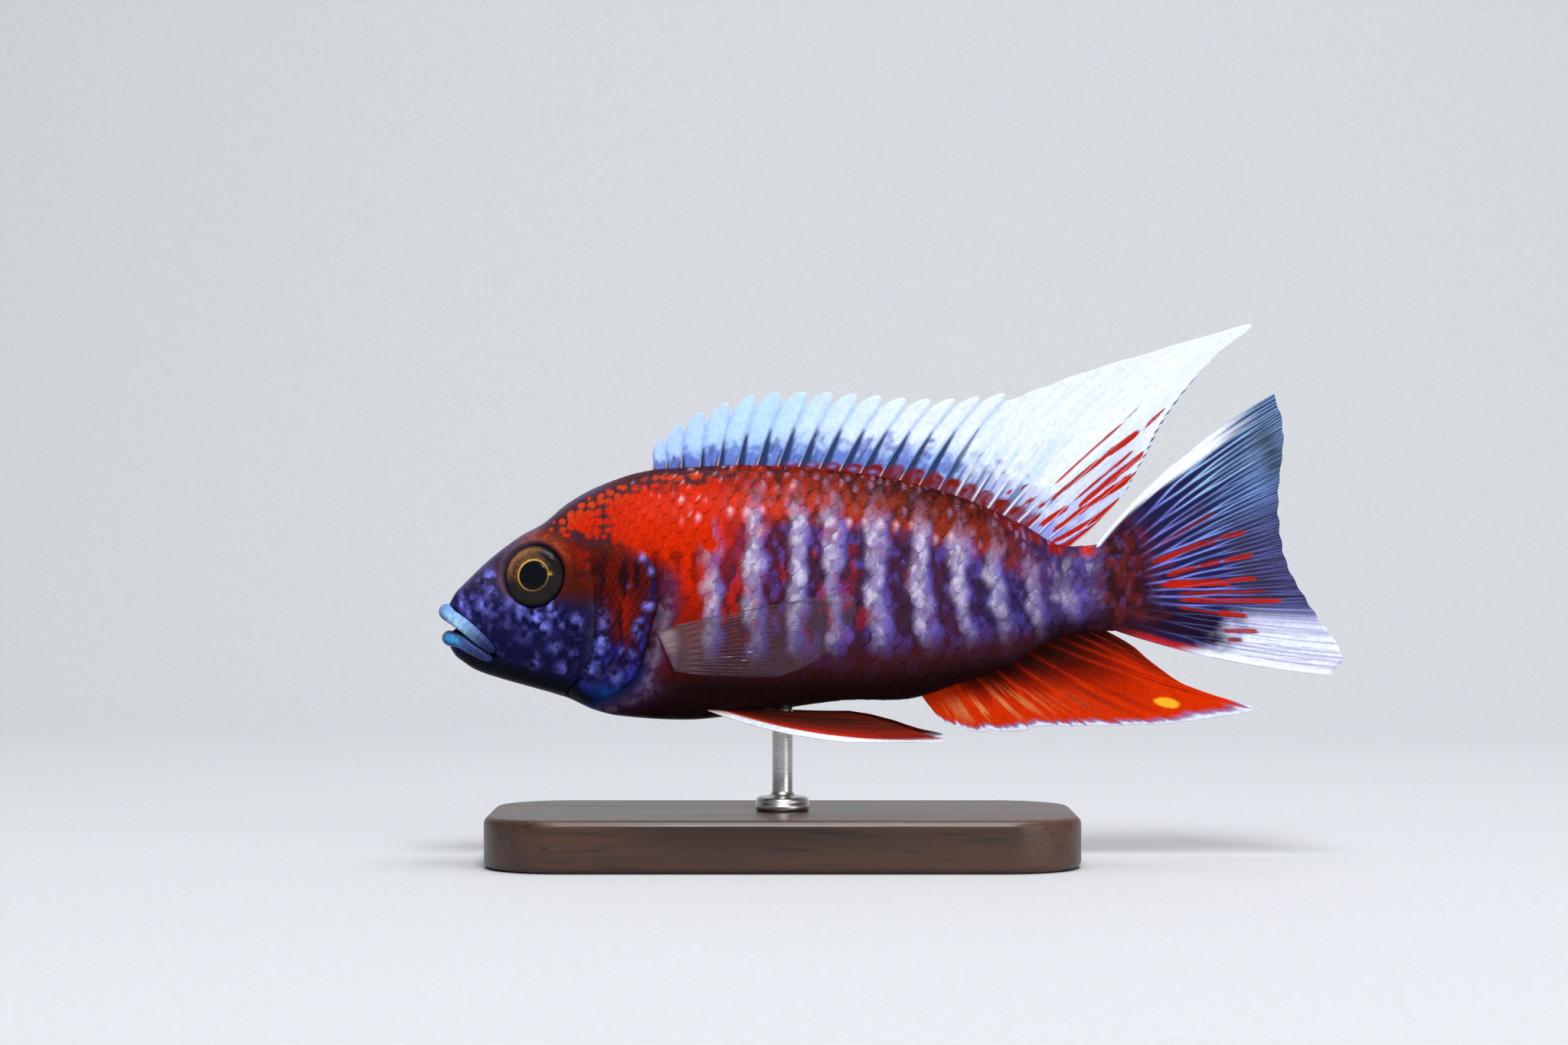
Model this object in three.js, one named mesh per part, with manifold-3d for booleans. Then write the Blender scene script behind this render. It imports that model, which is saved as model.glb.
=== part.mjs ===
import * as THREE from "three";
import { mergeVertices } from "three/addons/utils/BufferGeometryUtils.js";
import Module from "manifold-3d";

// A male peacock cichlid, life size, swimming level with its fins spread, held by a plain display stand.
// Millimetres, +Z up. The fish looks along -X and its left side faces -Y.
// The origin is the centre of the stand's underside.
//
// The fish is drawn in its own frame as [along, aside, high]: along runs from the upper lip towards the tail,
// aside is positive on its right, and high is counted from the line through the eye and the tail stalk.

const wasm = await Module();
wasm.setup();

// Driving dimensions
const GAP = 0.3; // left between neighbouring pieces
const NOSE = 1.0; // where the body begins, behind the lips
const STALK_END = 110.8; // where the tail stalk ends inside the root of the tail fin
const NOSE_ROUND = 2.2;
const STALK_ROUND = 4.2;
const STALK_EDGE = 0.35; // the share of its width that the stalk keeps at its very end
const EYE_LINE = 45; // height of the fish's long axis above the floor
const BALANCE = 54; // along the fish, the place that stands over the middle of the base

const MEMBRANE = 0.26; // half the thickness of a fin's skin
const FIN_EDGE = 0.18; // half the thickness at a fin's free edge
const RAY = { proud: 0.26, flank: 0.5 }; // a ray's ridge at its root: height and half width
const RAY_TAPER = { proud: 0.55, flank: 0.4 }; // the share of each that is lost at the tip
const SCALLOP = 0.25; // how far soft rays stand past the skin between them
const FLESHY_ROOT = { thick: 0.7, reach: 0.22 }; // the pectoral fin's swollen root
const MOUTH = { at: [3.9, -8.6], length: 4.2, width: 2.5, height: 0.85, tilt: 0.22 };

const EYE = { at: [15.4, -0.1], radius: 4.7, bulge: 1.1, depth: 2.7, pupil: 2.3, sunk: 0.35, rim: 0.45 };
const NOSTRIL = { at: [6.9, -1.4], radius: 0.55, rim: 0.85 };
const FLAP = { lift: 0.6, thick: 1.4, from: 25, rise: 8 }; // a gill cover, rising off the skin to the rear
const BASE = { length: 92, width: 44, height: 8, corner: 12, bevel: 1.2 };
const ROD = { radius: 1.6, foot: 4.2, footHeight: 2.2, chamfer: 0.7, socket: 2.4 };

// How finely the round shapes are split
const RING_POINTS = 28;
const STATIONS = 40;
const CROWDING = 0.08; // draws the body's stations towards both ends
const GILL_POINTS = 28;
const EYE_POINTS = 18;
const LIP = { rings: 16, sides: 7 };

// A smooth function through [place, value] knots.
function curve(knots) {
  const slope = knots.map((_, i) => {
    const [a, b] = [knots[Math.max(i - 1, 0)], knots[Math.min(i + 1, knots.length - 1)]];
    return (b[1] - a[1]) / (b[0] - a[0]);
  });
  return (place) => {
    let i = 0;
    while (i < knots.length - 2 && place > knots[i + 1][0]) i += 1;
    const [[x0, y0], [x1, y1]] = [knots[i], knots[i + 1]];
    const width = x1 - x0;
    const t = THREE.MathUtils.clamp((place - x0) / width, 0, 1);
    const [m0, m1] = [slope[i] * width, slope[i + 1] * width];
    return y0 + t * (m0 + t * (3 * (y1 - y0) - 2 * m0 - m1 + t * (2 * (y0 - y1) + m0 + m1)));
  };
}

// The body's outline from the side, its half width from above, and how square its upper half is
const BACK = curve([
  [0, -4.9], [1.9, -3.7], [3.4, -2.2], [8.2, 2.4], [13, 6.0], [16.6, 8.0], [20.2, 11.0], [25, 13.7],
  [32.2, 16.1], [40, 16.8], [49, 17.1], [60, 16.5], [72, 14.8], [83, 11.7], [92.2, 7.5], [97, 4.7],
  [101.8, 4.5], [105, 4.9], [110.8, 5.6],
]);
const BELLY = curve([
  [0, -10.9], [1.3, -11.7], [3.4, -13.3], [5.8, -14.9], [9.4, -16.2], [15.4, -17.9], [20.2, -19.3],
  [24.4, -21.2], [28.6, -22.2], [39.4, -22.8], [48, -21.9], [63.4, -19.8], [74, -19.5], [81.4, -17.2],
  [89.8, -14.2], [94.6, -11.2], [99.4, -9.4], [105.4, -8.9], [110.8, -9.2],
]);
const HALF_WIDTH = curve([
  [0, 2.0], [3.4, 3.3], [8.2, 4.9], [13, 6.0], [20, 7.5], [27, 8.4], [35, 8.7], [45, 8.5], [55, 8.1],
  [65, 7.4], [75, 6.5], [85, 5.2], [92, 4.2], [98, 3.4], [104, 2.5], [108, 1.7], [110.8, 0.9],
]);
const UPPER_FULLNESS = curve([[0, 2.3], [16, 2.3], [35, 1.9], [80, 1.85], [111, 2]]);
const LOWER_FULLNESS = 2.25;

function quarterRound(t) {
  return t >= 1 ? 1 : Math.sqrt(Math.max(0, 1 - (1 - t) ** 2));
}

// The body's cross-section at one place, grown outwards (or shrunk) by a distance.
function section(along, grow = 0) {
  const [top, bottom] = [BACK(along), BELLY(along)];
  const middle = (top + bottom) / 2;
  const nose = quarterRound((along - NOSE + grow) / NOSE_ROUND);
  const stalk = quarterRound((STALK_END + grow - along) / STALK_ROUND);
  return {
    middle,
    up: (top - middle + grow) * nose * stalk,
    down: (middle - bottom + grow) * nose * stalk,
    width: (HALF_WIDTH(along) + grow) * nose * THREE.MathUtils.lerp(STALK_EDGE, 1, stalk),
    fullness: UPPER_FULLNESS(along),
  };
}

function bodyPoint(along, angle, grow = 0) {
  const s = section(along, grow);
  const [c, q] = [Math.cos(angle), Math.sin(angle)];
  const power = 2 / (q > 0 ? s.fullness : LOWER_FULLNESS);
  return new THREE.Vector3(
    along,
    s.width * Math.sign(c) * Math.abs(c) ** power,
    s.middle + (q > 0 ? s.up : -s.down) * Math.abs(q) ** power,
  );
}

// How far the body's skin lies aside of the middle at a place on the side view.
function sideAt(along, high) {
  const s = section(along);
  const v = Math.abs(high - s.middle) / (high > s.middle ? s.up : s.down);
  const n = high > s.middle ? s.fullness : LOWER_FULLNESS;
  return v >= 1 ? 0 : s.width * (1 - v ** n) ** (1 / n);
}

// Point on the skin and the direction out of it; side is 1 on the right and -1 on the left.
function skinAt([along, high], side) {
  const step = 0.8;
  const slopeAlong = (sideAt(along + step, high) - sideAt(along - step, high)) / (2 * step);
  const slopeHigh = (sideAt(along, high + step) - sideAt(along, high - step)) / (2 * step);
  return {
    point: new THREE.Vector3(along, side * sideAt(along, high), high),
    out: new THREE.Vector3(-slopeAlong, side, -slopeHigh).normalize(),
  };
}

// A closed mesh as a solid, turned right side out where it was drawn inside out.
function solid(geometry) {
  const bare = geometry.clone();
  bare.deleteAttribute("normal");
  bare.deleteAttribute("uv");
  const { index, attributes } = mergeVertices(bare, 1e-4);
  const vertProperties = attributes.position.array;
  const triVerts = new Uint32Array(index.array);
  const made = new wasm.Manifold(new wasm.Mesh({ numProp: 3, vertProperties, triVerts }));
  if (made.volume() > 0) return made;
  for (let i = 0; i < triVerts.length; i += 3) {
    [triVerts[i + 1], triVerts[i + 2]] = [triVerts[i + 2], triVerts[i + 1]];
  }
  return new wasm.Manifold(new wasm.Mesh({ numProp: 3, vertProperties, triVerts }));
}

function gridGeometry(points, triangles) {
  const geometry = new THREE.BufferGeometry();
  geometry.setAttribute("position", new THREE.Float32BufferAttribute(points.flatMap((p) => p.toArray()), 3));
  return geometry.setIndex(triangles.flat());
}

// A closed surface through rings of points, with a fan at each end.
function loft(rings, firstTip, lastTip) {
  const n = rings[0].length;
  const points = [...rings.flat(), firstTip, lastTip];
  const triangles = [];
  for (let r = 0; r + 1 < rings.length; r += 1)
    for (let i = 0; i < n; i += 1) {
      const [a, b] = [r * n + i, r * n + ((i + 1) % n)];
      triangles.push([a, b, b + n], [a, b + n, a + n]);
    }
  const [first, last, start] = [rings.length * n, rings.length * n + 1, (rings.length - 1) * n];
  for (let i = 0; i < n; i += 1) {
    const next = (i + 1) % n;
    triangles.push([first, next, i], [last, start + i, start + next]);
  }
  return gridGeometry(points, triangles);
}

// A thin closed plate round a middle surface; both faces are split into the same triangles.
function vane(columns, rows, at) {
  const middle = columns.map((c) => rows.map((r) => at(c, r)));
  const near = (i, count) => [Math.max(i - 1, 0), Math.min(i + 1, count - 1)];
  const faces = [[], []];
  middle.forEach((column, i) =>
    column.forEach(({ point, half }, j) => {
      const [[a, b], [d, e]] = [near(i, middle.length), near(j, column.length)];
      const across = middle[b][j].point.clone().sub(middle[a][j].point);
      const out = column[e].point.clone().sub(column[d].point);
      const normal = across.cross(out).normalize().multiplyScalar(half);
      faces[0].push(point.clone().add(normal));
      faces[1].push(point.clone().sub(normal));
    }),
  );
  const [tall, total] = [rows.length, middle.length * rows.length];
  const triangles = [];
  for (let i = 0; i + 1 < middle.length; i += 1)
    for (let j = 0; j + 1 < tall; j += 1) {
      const a = i * tall + j;
      const [b, c, d] = [a + tall, a + tall + 1, a + 1];
      triangles.push([a, b, c], [a, c, d]);
      triangles.push([a + total, c + total, b + total], [a + total, d + total, c + total]);
    }
  const rim = [];
  for (let i = 0; i < middle.length; i += 1) rim.push(i * tall);
  for (let j = 1; j < tall; j += 1) rim.push((middle.length - 1) * tall + j);
  for (let i = middle.length - 2; i >= 0; i -= 1) rim.push(i * tall + tall - 1);
  for (let j = tall - 2; j > 0; j -= 1) rim.push(j);
  rim.forEach((a, k) => {
    const b = rim[(k + 1) % rim.length];
    triangles.push([a, a + total, b], [b, a + total, b + total]);
  });
  return gridGeometry([...faces[0], ...faces[1]], triangles);
}

// An outline seen from the side, carried right through the fish.
function prism(outline) {
  const reach = 30;
  const shape = new THREE.Shape(outline.map(([x, y]) => new THREE.Vector2(x, y)));
  const plate = new THREE.ExtrudeGeometry(shape, { depth: 2 * reach, bevelEnabled: false });
  return solid(plate.translate(0, 0, -reach).rotateX(Math.PI / 2));
}

// A geometry made along +Z, turned to look out of the skin and set at a point.
function setOn(geometry, point, out) {
  const turn = new THREE.Quaternion().setFromUnitVectors(new THREE.Vector3(0, 0, 1), out);
  return geometry.applyQuaternion(turn).translate(point.x, point.y, point.z);
}

function largestOf(made) {
  return made.decompose().sort((a, b) => b.volume() - a.volume())[0];
}

function evenly(count) {
  return Array.from({ length: count + 1 }, (_, i) => i / count);
}

// The body, grown outwards by an amount that may change along it.
function body(growth = () => 0) {
  const [from, to] = [NOSE - growth(NOSE), STALK_END + growth(STALK_END)];
  const crowded = (t) => t - CROWDING * Math.sin(2 * Math.PI * t);
  const places = evenly(STATIONS).map((t) => from + (to - from) * crowded(t));
  const rings = places.slice(1, -1).map((along) =>
    evenly(RING_POINTS).slice(1).map((turn) => bodyPoint(along, 2 * Math.PI * turn, growth(along))),
  );
  const tip = (along) => new THREE.Vector3(along, 0, section(along).middle);
  return solid(loft(rings, tip(from), tip(to)));
}

// How far the gill cover's outer face stands off the skin.
function flapLift(along) {
  return FLAP.lift * THREE.MathUtils.smoothstep(along, FLAP.from, FLAP.from + FLAP.rise);
}

// Outlines from the side: a gill cover, and the spaces that hold the lower jaw, the head and the tail stalk
const GILL_COVER = new THREE.CatmullRomCurve3(
  [
    [25.6, 1.0], [29.0, 2.7], [32.8, 3.2], [34.9, -0.2], [34.9, -4.2], [33.6, -8.6], [32.5, -13.2],
    [30.8, -16.8], [27.4, -18.6], [23.8, -18.3], [23.4, -15.2], [24.6, -11], [25.2, -7], [24.9, -3],
  ].map(([along, high]) => new THREE.Vector3(along, high, 0)),
  true,
);
const JAW = [[-6, -8.0], [4.6, -9.35], [9.7, -13.1], [11.4, -14.6], [13.2, -24], [-6, -24]];
const HEAD = [
  [-9, 30], [31.4, 30], [31.4, 12], [33, 3.4], [31.6, -4], [31, -12], [29, -17], [26.5, -19.4], [26, -34],
  [-9, -34],
];
const TAIL = [[96.2, 20], [96.2, 4.7], [101.4, -9.6], [101.4, -30], [130, -30], [130, 20]];

function gillOutline(grow) {
  const points = GILL_COVER.getSpacedPoints(GILL_POINTS).slice(1);
  return points.map((p, i) => {
    const [a, b] = [points.at(i - 1), points[(i + 1) % GILL_POINTS]];
    const out = new THREE.Vector2(b.y - a.y, a.x - b.x).normalize().multiplyScalar(-grow);
    return [p.x + out.x, p.y + out.y];
  });
}

// Eyes, from the back of the ball to the front of the cornea
function eyeball(grow = 0) {
  const [r, front, back] = [EYE.radius + grow, EYE.bulge + grow, EYE.depth + grow];
  const lens = EYE.pupil + grow;
  const profile = [
    [0, -back], [0.6 * r, -0.83 * back], [0.9 * r, -0.42 * back], [r, 0], [0.93 * r, 0.42 * front],
    [0.74 * r, 0.74 * front], [lens, 0.9 * front], [0.9 * lens, 1.08 * front], [0.5 * lens, 1.26 * front],
    [0, 1.32 * front],
  ].map(([x, y]) => new THREE.Vector2(x, y));
  return new THREE.LatheGeometry(profile, EYE_POINTS).rotateX(Math.PI / 2);
}

function eye(side, grow = 0) {
  const { point, out } = skinAt(EYE.at, side);
  return solid(setOn(eyeball(grow), point.addScaledVector(out, -EYE.sunk), out));
}

function orbitRim(side) {
  const { point, out } = skinAt(EYE.at, side);
  const rim = new THREE.TorusGeometry(EYE.radius + EYE.rim, EYE.rim + GAP, 6, EYE_POINTS);
  return solid(setOn(rim, point.addScaledVector(out, -EYE.sunk), out));
}

// A nostril is a small pit in a low round rim.
function nostrilBall(side, radius, height) {
  const { point, out } = skinAt(NOSTRIL.at, side);
  return solid(setOn(new THREE.SphereGeometry(radius, 10, 7), point.addScaledVector(out, height), out));
}

// A lip is a fat tube from one corner of the mouth round the front to the other.
function lip({ along, aside, high, radius }, grow = 0) {
  const half = (w, side) => new THREE.Vector3(along(w), side * aside(w), high(w));
  const path = (v) => half(Math.abs(v), Math.sign(v));
  const places = evenly(LIP.rings).map((t) => 2 * t - 1);
  const rings = places.map((v) => {
    const ahead = path(Math.min(v + 0.02, 1)).sub(path(Math.max(v - 0.02, -1))).normalize();
    const outward = new THREE.Vector3(-1, 0, 0.25).cross(ahead).cross(ahead).negate().normalize();
    const upward = ahead.clone().cross(outward);
    const blunt = 0.35 + 0.65 * quarterRound((1 - Math.abs(v)) / 0.12);
    const r = radius(Math.abs(v)) * blunt + grow;
    return evenly(LIP.sides).slice(1).map((turn) => {
      const a = 2 * Math.PI * turn;
      return path(v).addScaledVector(outward, r * Math.cos(a)).addScaledVector(upward, r * Math.sin(a));
    });
  });
  return solid(loft(rings, path(-1), path(1)));
}

const UPPER_LIP = {
  along: curve([[0, 1.4], [0.2, 1.9], [0.45, 3.9], [0.7, 6.1], [1, 9.2]]),
  aside: curve([[0, 0], [0.2, 1.6], [0.45, 2.9], [0.7, 3.9], [1, 4.8]]),
  high: curve([[0, -5.9], [0.2, -6.2], [0.45, -7.5], [0.7, -9.3], [1, -12.1]]),
  radius: curve([[0, 1.3], [0.45, 1.2], [0.75, 1.05], [1, 0.75]]),
};
const LOWER_LIP = {
  along: curve([[0, 1.8], [0.2, 2.2], [0.45, 3.9], [0.7, 6.0], [1, 8.8]]),
  aside: curve([[0, 0], [0.2, 1.5], [0.45, 2.7], [0.7, 3.5], [1, 4.4]]),
  high: curve([[0, -10.0], [0.2, -10.1], [0.45, -10.5], [0.7, -11.7], [1, -13.3]]),
  radius: curve([[0, 1.2], [0.45, 1.1], [0.75, 0.95], [1, 0.6]]),
};

// The narrow opening between the lips
function mouthHollow() {
  const opening = new THREE.SphereGeometry(1, 12, 8).scale(MOUTH.length, MOUTH.width, MOUTH.height);
  return solid(opening.rotateY(MOUTH.tilt).translate(MOUTH.at[0], 0, MOUTH.at[1]));
}

// A fin is drawn by its rays: each row of a table is [ray, root, tip, bow], where bow is how far the middle
// of the ray stands off a straight line.
function fin(table, mirror = 1) {
  const part = (cell, k) => curve(table.map((row) => [row[0], row[cell][k]]));
  const [root, tip] = [1, 2].map((cell) => [0, 1, 2].map((k) => part(cell, k)));
  const bow = curve(table.map((row) => [row[0], row[3]]));
  const end = (fns, u) => new THREE.Vector3(...fns.map((f) => f(u)));
  return {
    rays: table.at(-1)[0],
    at(u, t, reach = 0) {
      const [a, b] = [end(root, u), end(tip, u)];
      const line = b.sub(a);
      line.setLength(line.length() + reach);
      const off = new THREE.Vector3(-line.z, 0, line.x).normalize();
      const point = a.addScaledVector(line, t).addScaledVector(off, 4 * bow(u) * t * (1 - t));
      point.y *= mirror;
      return point;
    },
  };
}

// A fin's columns: on each ray, at the foot of its ridge on both sides, and between
const FOOT = 0.12;
const BETWEEN_RAYS = [0, FOOT, 0.5, 1 - FOOT];
const SPINE_LOBE = [0, FOOT, 0.36, 0.66, 1 - FOOT];
const CLEAR_FAN = [0, FOOT, 1 - FOOT];

function finColumns(from, to, between) {
  const columns = [];
  for (let ray = from; ray < to; ray += 1) columns.push(...between.map((f) => ray + f));
  return [...columns, to];
}

// Each ridge keeps one width from root to tip, however far its neighbours stand apart.
function settled(shape, u, t) {
  const ray = Math.round(u);
  const side = Math.sign(u - ray);
  if (Math.abs(u - ray) > FOOT || side === 0) return u;
  const spacing = shape.at(ray, t).distanceTo(shape.at(ray + side, t));
  return ray + side * Math.min(0.3, (RAY.flank * (1 - RAY_TAPER.flank * t)) / spacing);
}

// Half the thickness at a place on a fin
function finHalf(u, t) {
  const ridge = Number.isInteger(u) ? RAY.proud * (1 - RAY_TAPER.proud * t) : 0;
  return t === 1 ? FIN_EDGE + ridge / 2 : MEMBRANE + ridge;
}

function finSolid(shape, columns, rows, reach = () => 0, thicker = () => 0) {
  const at = (u, t) => ({
    point: shape.at(settled(shape, u, t), t, reach(u)),
    half: finHalf(u, t) + thicker(t),
  });
  return solid(vane(columns, rows, at));
}

function scallop(u) {
  return Number.isInteger(u) ? 0 : -SCALLOP;
}

const DORSAL_SPINES = 15;
const DORSAL = fin([
  [0, [33.2, 0, 13.8], [33.6, 0, 18.9], -0.3],
  [1, [35.5, 0, 13.9], [35.6, 0, 20.0], -0.2],
  [2, [37.9, 0, 14.2], [38.6, 0.1, 22.1], 0],
  [3, [40.6, 0, 14.4], [42.0, 0.2, 23.3], 0],
  [5, [46.2, 0, 14.6], [49.6, 0.4, 25.6], 0.2],
  [8, [55.6, 0, 14.4], [61.3, 0.4, 26.1], 0.3],
  [12, [68.0, 0, 12.9], [76.6, -0.2, 25.6], 0.5],
  [15, [77.2, 0, 10.9], [88.4, -0.8, 27.0], 0.7],
  [16, [79.8, 0, 9.9], [93.4, -1.1, 28.8], 0.9],
  [17, [82.3, 0, 9.0], [98.8, -1.4, 30.8], 1.0],
  [18, [84.7, 0, 8.1], [106.0, -1.8, 33.1], 1.1],
  [19, [87.0, 0, 7.2], [115.6, -2.2, 35.9], 1.2],
  [20, [89.1, 0, 6.3], [127.1, -2.8, 39.0], 1.2],
  [21, [90.9, 0, 5.4], [121.4, -2.4, 33.9], 0.6],
  [22, [92.3, 0, 4.6], [114.7, -1.9, 25.7], 0.2],
  [23, [93.5, 0, 3.9], [111.0, -1.5, 19.0], -0.3],
  [24, [94.4, 0, 3.4], [107.6, -1.1, 12.8], -0.8],
  [25, [95.1, 0, 2.8], [103.6, -0.6, 8.6], -0.9],
]);
const LOBE_HEIGHT = curve([[0, 1.9], [4, 2.7], [8, 2.6], [12, 2.1], [15, 1.7]]);
const LOBE_OUTLINE = curve([[0, 0], [FOOT, 0.36], [0.36, 0.8], [0.66, 1], [1 - FOOT, 0.84], [1, 0]]);

function dorsalReach(u) {
  return u < DORSAL_SPINES ? LOBE_HEIGHT(u) * LOBE_OUTLINE(u - Math.floor(u)) : scallop(u);
}

const ANAL_SPINES = 3;
const LAPPET = 0.5;
const ANAL = fin([
  [0, [74.6, 0, -16.8], [78.9, 0.1, -22.8], -0.2],
  [1, [77.2, 0, -16.2], [81.7, 0.2, -23.7], -0.2],
  [2, [79.9, 0, -15.2], [86.2, 0.4, -24.3], -0.2],
  [3, [82.7, 0, -14.2], [92.8, 0.6, -24.0], -0.3],
  [4, [85.5, 0, -13.2], [99.4, 0.8, -23.9], -0.4],
  [5, [88.1, 0, -12.2], [106.6, 1.0, -23.8], -0.5],
  [6, [90.6, 0, -11.0], [115.2, 1.3, -23.5], -0.6],
  [7, [92.9, 0, -9.8], [128.0, 1.8, -21.5], -0.8],
  [8, [95.1, 0, -8.9], [122.2, 1.6, -19.2], -0.4],
  [9, [97.1, 0, -8.1], [117.6, 1.3, -17.6], 0],
  [10, [99.0, 0, -7.6], [113.4, 1.0, -14.9], 0.2],
  [11, [100.8, 0, -7.3], [109.4, 0.7, -11.6], 0.3],
]);

function analReach(u) {
  return u < ANAL_SPINES ? LAPPET * LOBE_OUTLINE(u - Math.floor(u)) : scallop(u);
}

const CAUDAL = fin([
  [0, [102.6, 0, 3.6], [131.5, 3.2, 28.4], 2.0],
  [1, [104.5, 0, 2.9], [132.6, 2.7, 24.8], 1.3],
  [2, [105.6, 0, 2.0], [132.9, 2.2, 21.4], 1.0],
  [5, [107.0, 0, -0.2], [131.9, 0.9, 11.4], 0.4],
  [8, [107.4, 0, -2.2], [133.0, -0.3, 2.0], 0],
  [11, [107.0, 0, -4.0], [137.3, -1.5, -6.0], -0.3],
  [13, [105.8, 0, -5.6], [140.6, -2.3, -10.8], -0.7],
  [14, [104.8, 0, -6.6], [141.4, -2.7, -13.3], -1.0],
  [15, [103.0, 0, -7.6], [139.5, -2.9, -15.7], -1.3],
]);

const PELVIC = [
  [0, [40.6, -3.4, -20.4], [63.5, -6.8, -25.9], -0.9],
  [1, [41.2, -3.0, -20.3], [79.0, -8.2, -25.7], -1.9],
  [2, [41.7, -2.6, -20.3], [75.4, -7.2, -24.5], -1.4],
  [3, [42.2, -2.2, -20.3], [71.6, -6.0, -23.2], -0.9],
  [4, [42.6, -1.8, -20.4], [68.0, -4.7, -22.2], -0.5],
  [5, [43.0, -1.4, -20.5], [64.6, -3.4, -21.6], -0.3],
];
const PECTORAL = [
  [0, [34.6, -7.3, -8.7], [58.0, -11.6, -4.0], 0.5],
  [1, [34.9, -7.3, -9.5], [63.8, -12.3, -2.7], 0.5],
  [3, [35.5, -7.2, -10.9], [65.4, -12.9, -5.4], 0.5],
  [5, [36.1, -7.0, -12.3], [63.2, -12.9, -9.6], 0.2],
  [7, [36.7, -6.7, -13.7], [58.8, -11.9, -13.3], 0],
  [9, [37.2, -6.5, -14.9], [53.8, -10.9, -15.6], -0.4],
];

// Stand
function base() {
  const [l, w, c] = [BASE.length / 2 - BASE.bevel, BASE.width / 2 - BASE.bevel, BASE.corner - BASE.bevel];
  const plan = new THREE.Shape();
  plan.moveTo(-l + c, -w).lineTo(l - c, -w).absarc(l - c, -w + c, c, -Math.PI / 2, 0);
  plan.lineTo(l, w - c).absarc(l - c, w - c, c, 0, Math.PI / 2);
  plan.lineTo(-l + c, w).absarc(-l + c, w - c, c, Math.PI / 2, Math.PI);
  plan.lineTo(-l, -w + c).absarc(-l + c, -w + c, c, Math.PI, 1.5 * Math.PI);
  const depth = BASE.height - 2 * BASE.bevel;
  const bevel = { bevelThickness: BASE.bevel, bevelSize: BASE.bevel, bevelSegments: 2 };
  const plate = new THREE.ExtrudeGeometry(plan, { depth, curveSegments: 5, ...bevel });
  const socket = new THREE.CylinderGeometry(ROD.radius + GAP, ROD.radius + GAP, ROD.socket * 2, 16);
  const hole = solid(socket.rotateX(Math.PI / 2).translate(0, 0, BASE.height));
  return solid(plate.translate(0, 0, BASE.bevel)).subtract(hole);
}

function rod(cutter) {
  const foot = BASE.height + GAP;
  const reach = EYE_LINE + section(BALANCE).middle;
  const end = BASE.height - ROD.socket + GAP;
  const collar = foot + ROD.footHeight;
  const profile = [
    [0, end], [ROD.radius, end], [ROD.radius, foot], [ROD.foot, foot],
    [ROD.foot, foot + 0.7 * ROD.footHeight], [ROD.foot - ROD.chamfer, collar],
    [ROD.radius + 0.5, collar], [ROD.radius, collar + 0.8], [ROD.radius, reach], [0, reach],
  ].map(([x, y]) => new THREE.Vector2(x, y));
  const turned = solid(new THREE.LatheGeometry(profile, 16).rotateX(Math.PI / 2));
  return largestOf(turned.subtract(cutter.translate([-BALANCE, 0, EYE_LINE])));
}

// Finishes
function paint(color, roughness, metalness = 0) {
  return new THREE.MeshStandardMaterial({ color, roughness, metalness });
}

const FINISH = {
  flank: paint("#6f5f93", 0.4),
  head: paint("#4b3f9a", 0.35),
  shoulder: paint("#c8401c", 0.4),
  lip: paint("#9fc4ea", 0.35),
  eye: paint("#b98a34", 0.15),
  paleFin: paint("#cfdcf6", 0.45),
  redFin: paint("#d8431a", 0.45),
  clearFin: paint("#b7a8b4", 0.4),
  base: paint("#2b1d16", 0.45),
  rod: paint("#c9c5bb", 0.3, 0.9),
};

const fish = new THREE.Group();
fish.position.set(-BALANCE, 0, EYE_LINE);
const stand = new THREE.Group();
const cichlid = new THREE.Group();
cichlid.add(fish, stand);

function add(group, name, made, material) {
  const { vertProperties, triVerts } = largestOf(made).getMesh();
  const geometry = new THREE.BufferGeometry();
  geometry.setAttribute("position", new THREE.BufferAttribute(vertProperties, 3));
  geometry.setIndex(new THREE.BufferAttribute(triVerts, 1));
  geometry.computeVertexNormals();
  const mesh = new THREE.Mesh(geometry, material);
  mesh.name = name;
  group.add(mesh);
}

const skin = body();
const clearOfSkin = body(() => GAP);
const SIDES = [["left", -1], ["right", 1]];

// Head, jaws and gill covers
const upperLip = lip(UPPER_LIP);
const aroundUpperLip = lip(UPPER_LIP, GAP);
const jawSpace = prism(JAW);
const flapFace = body(flapLift);
const flapBack = body((along) => flapLift(along) - FLAP.thick);
const recess = prism(gillOutline(GAP)).subtract(body((along) => flapLift(along) - FLAP.thick - GAP));
const carved = skin.subtract(recess);
const headSpace = prism(HEAD);

let head = carved.intersect(headSpace);
for (const [, side] of SIDES) head = head.add(orbitRim(side)).add(nostrilBall(side, NOSTRIL.rim, -0.35));
head = head.subtract(jawSpace.add(jawSpace.translate([GAP, 0, GAP])));
head = head.subtract(aroundUpperLip).subtract(lip(LOWER_LIP, GAP)).subtract(mouthHollow());
for (const [, side] of SIDES) {
  head = head.subtract(eye(side, GAP)).subtract(nostrilBall(side, NOSTRIL.radius, 0.1));
}
add(fish, "head", head, FINISH.head);

const jaw = skin.intersect(jawSpace).add(lip(LOWER_LIP)).subtract(aroundUpperLip).subtract(mouthHollow());
add(fish, "lower_jaw", jaw, FINISH.lip);
add(fish, "upper_lip", upperLip, FINISH.lip);

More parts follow.
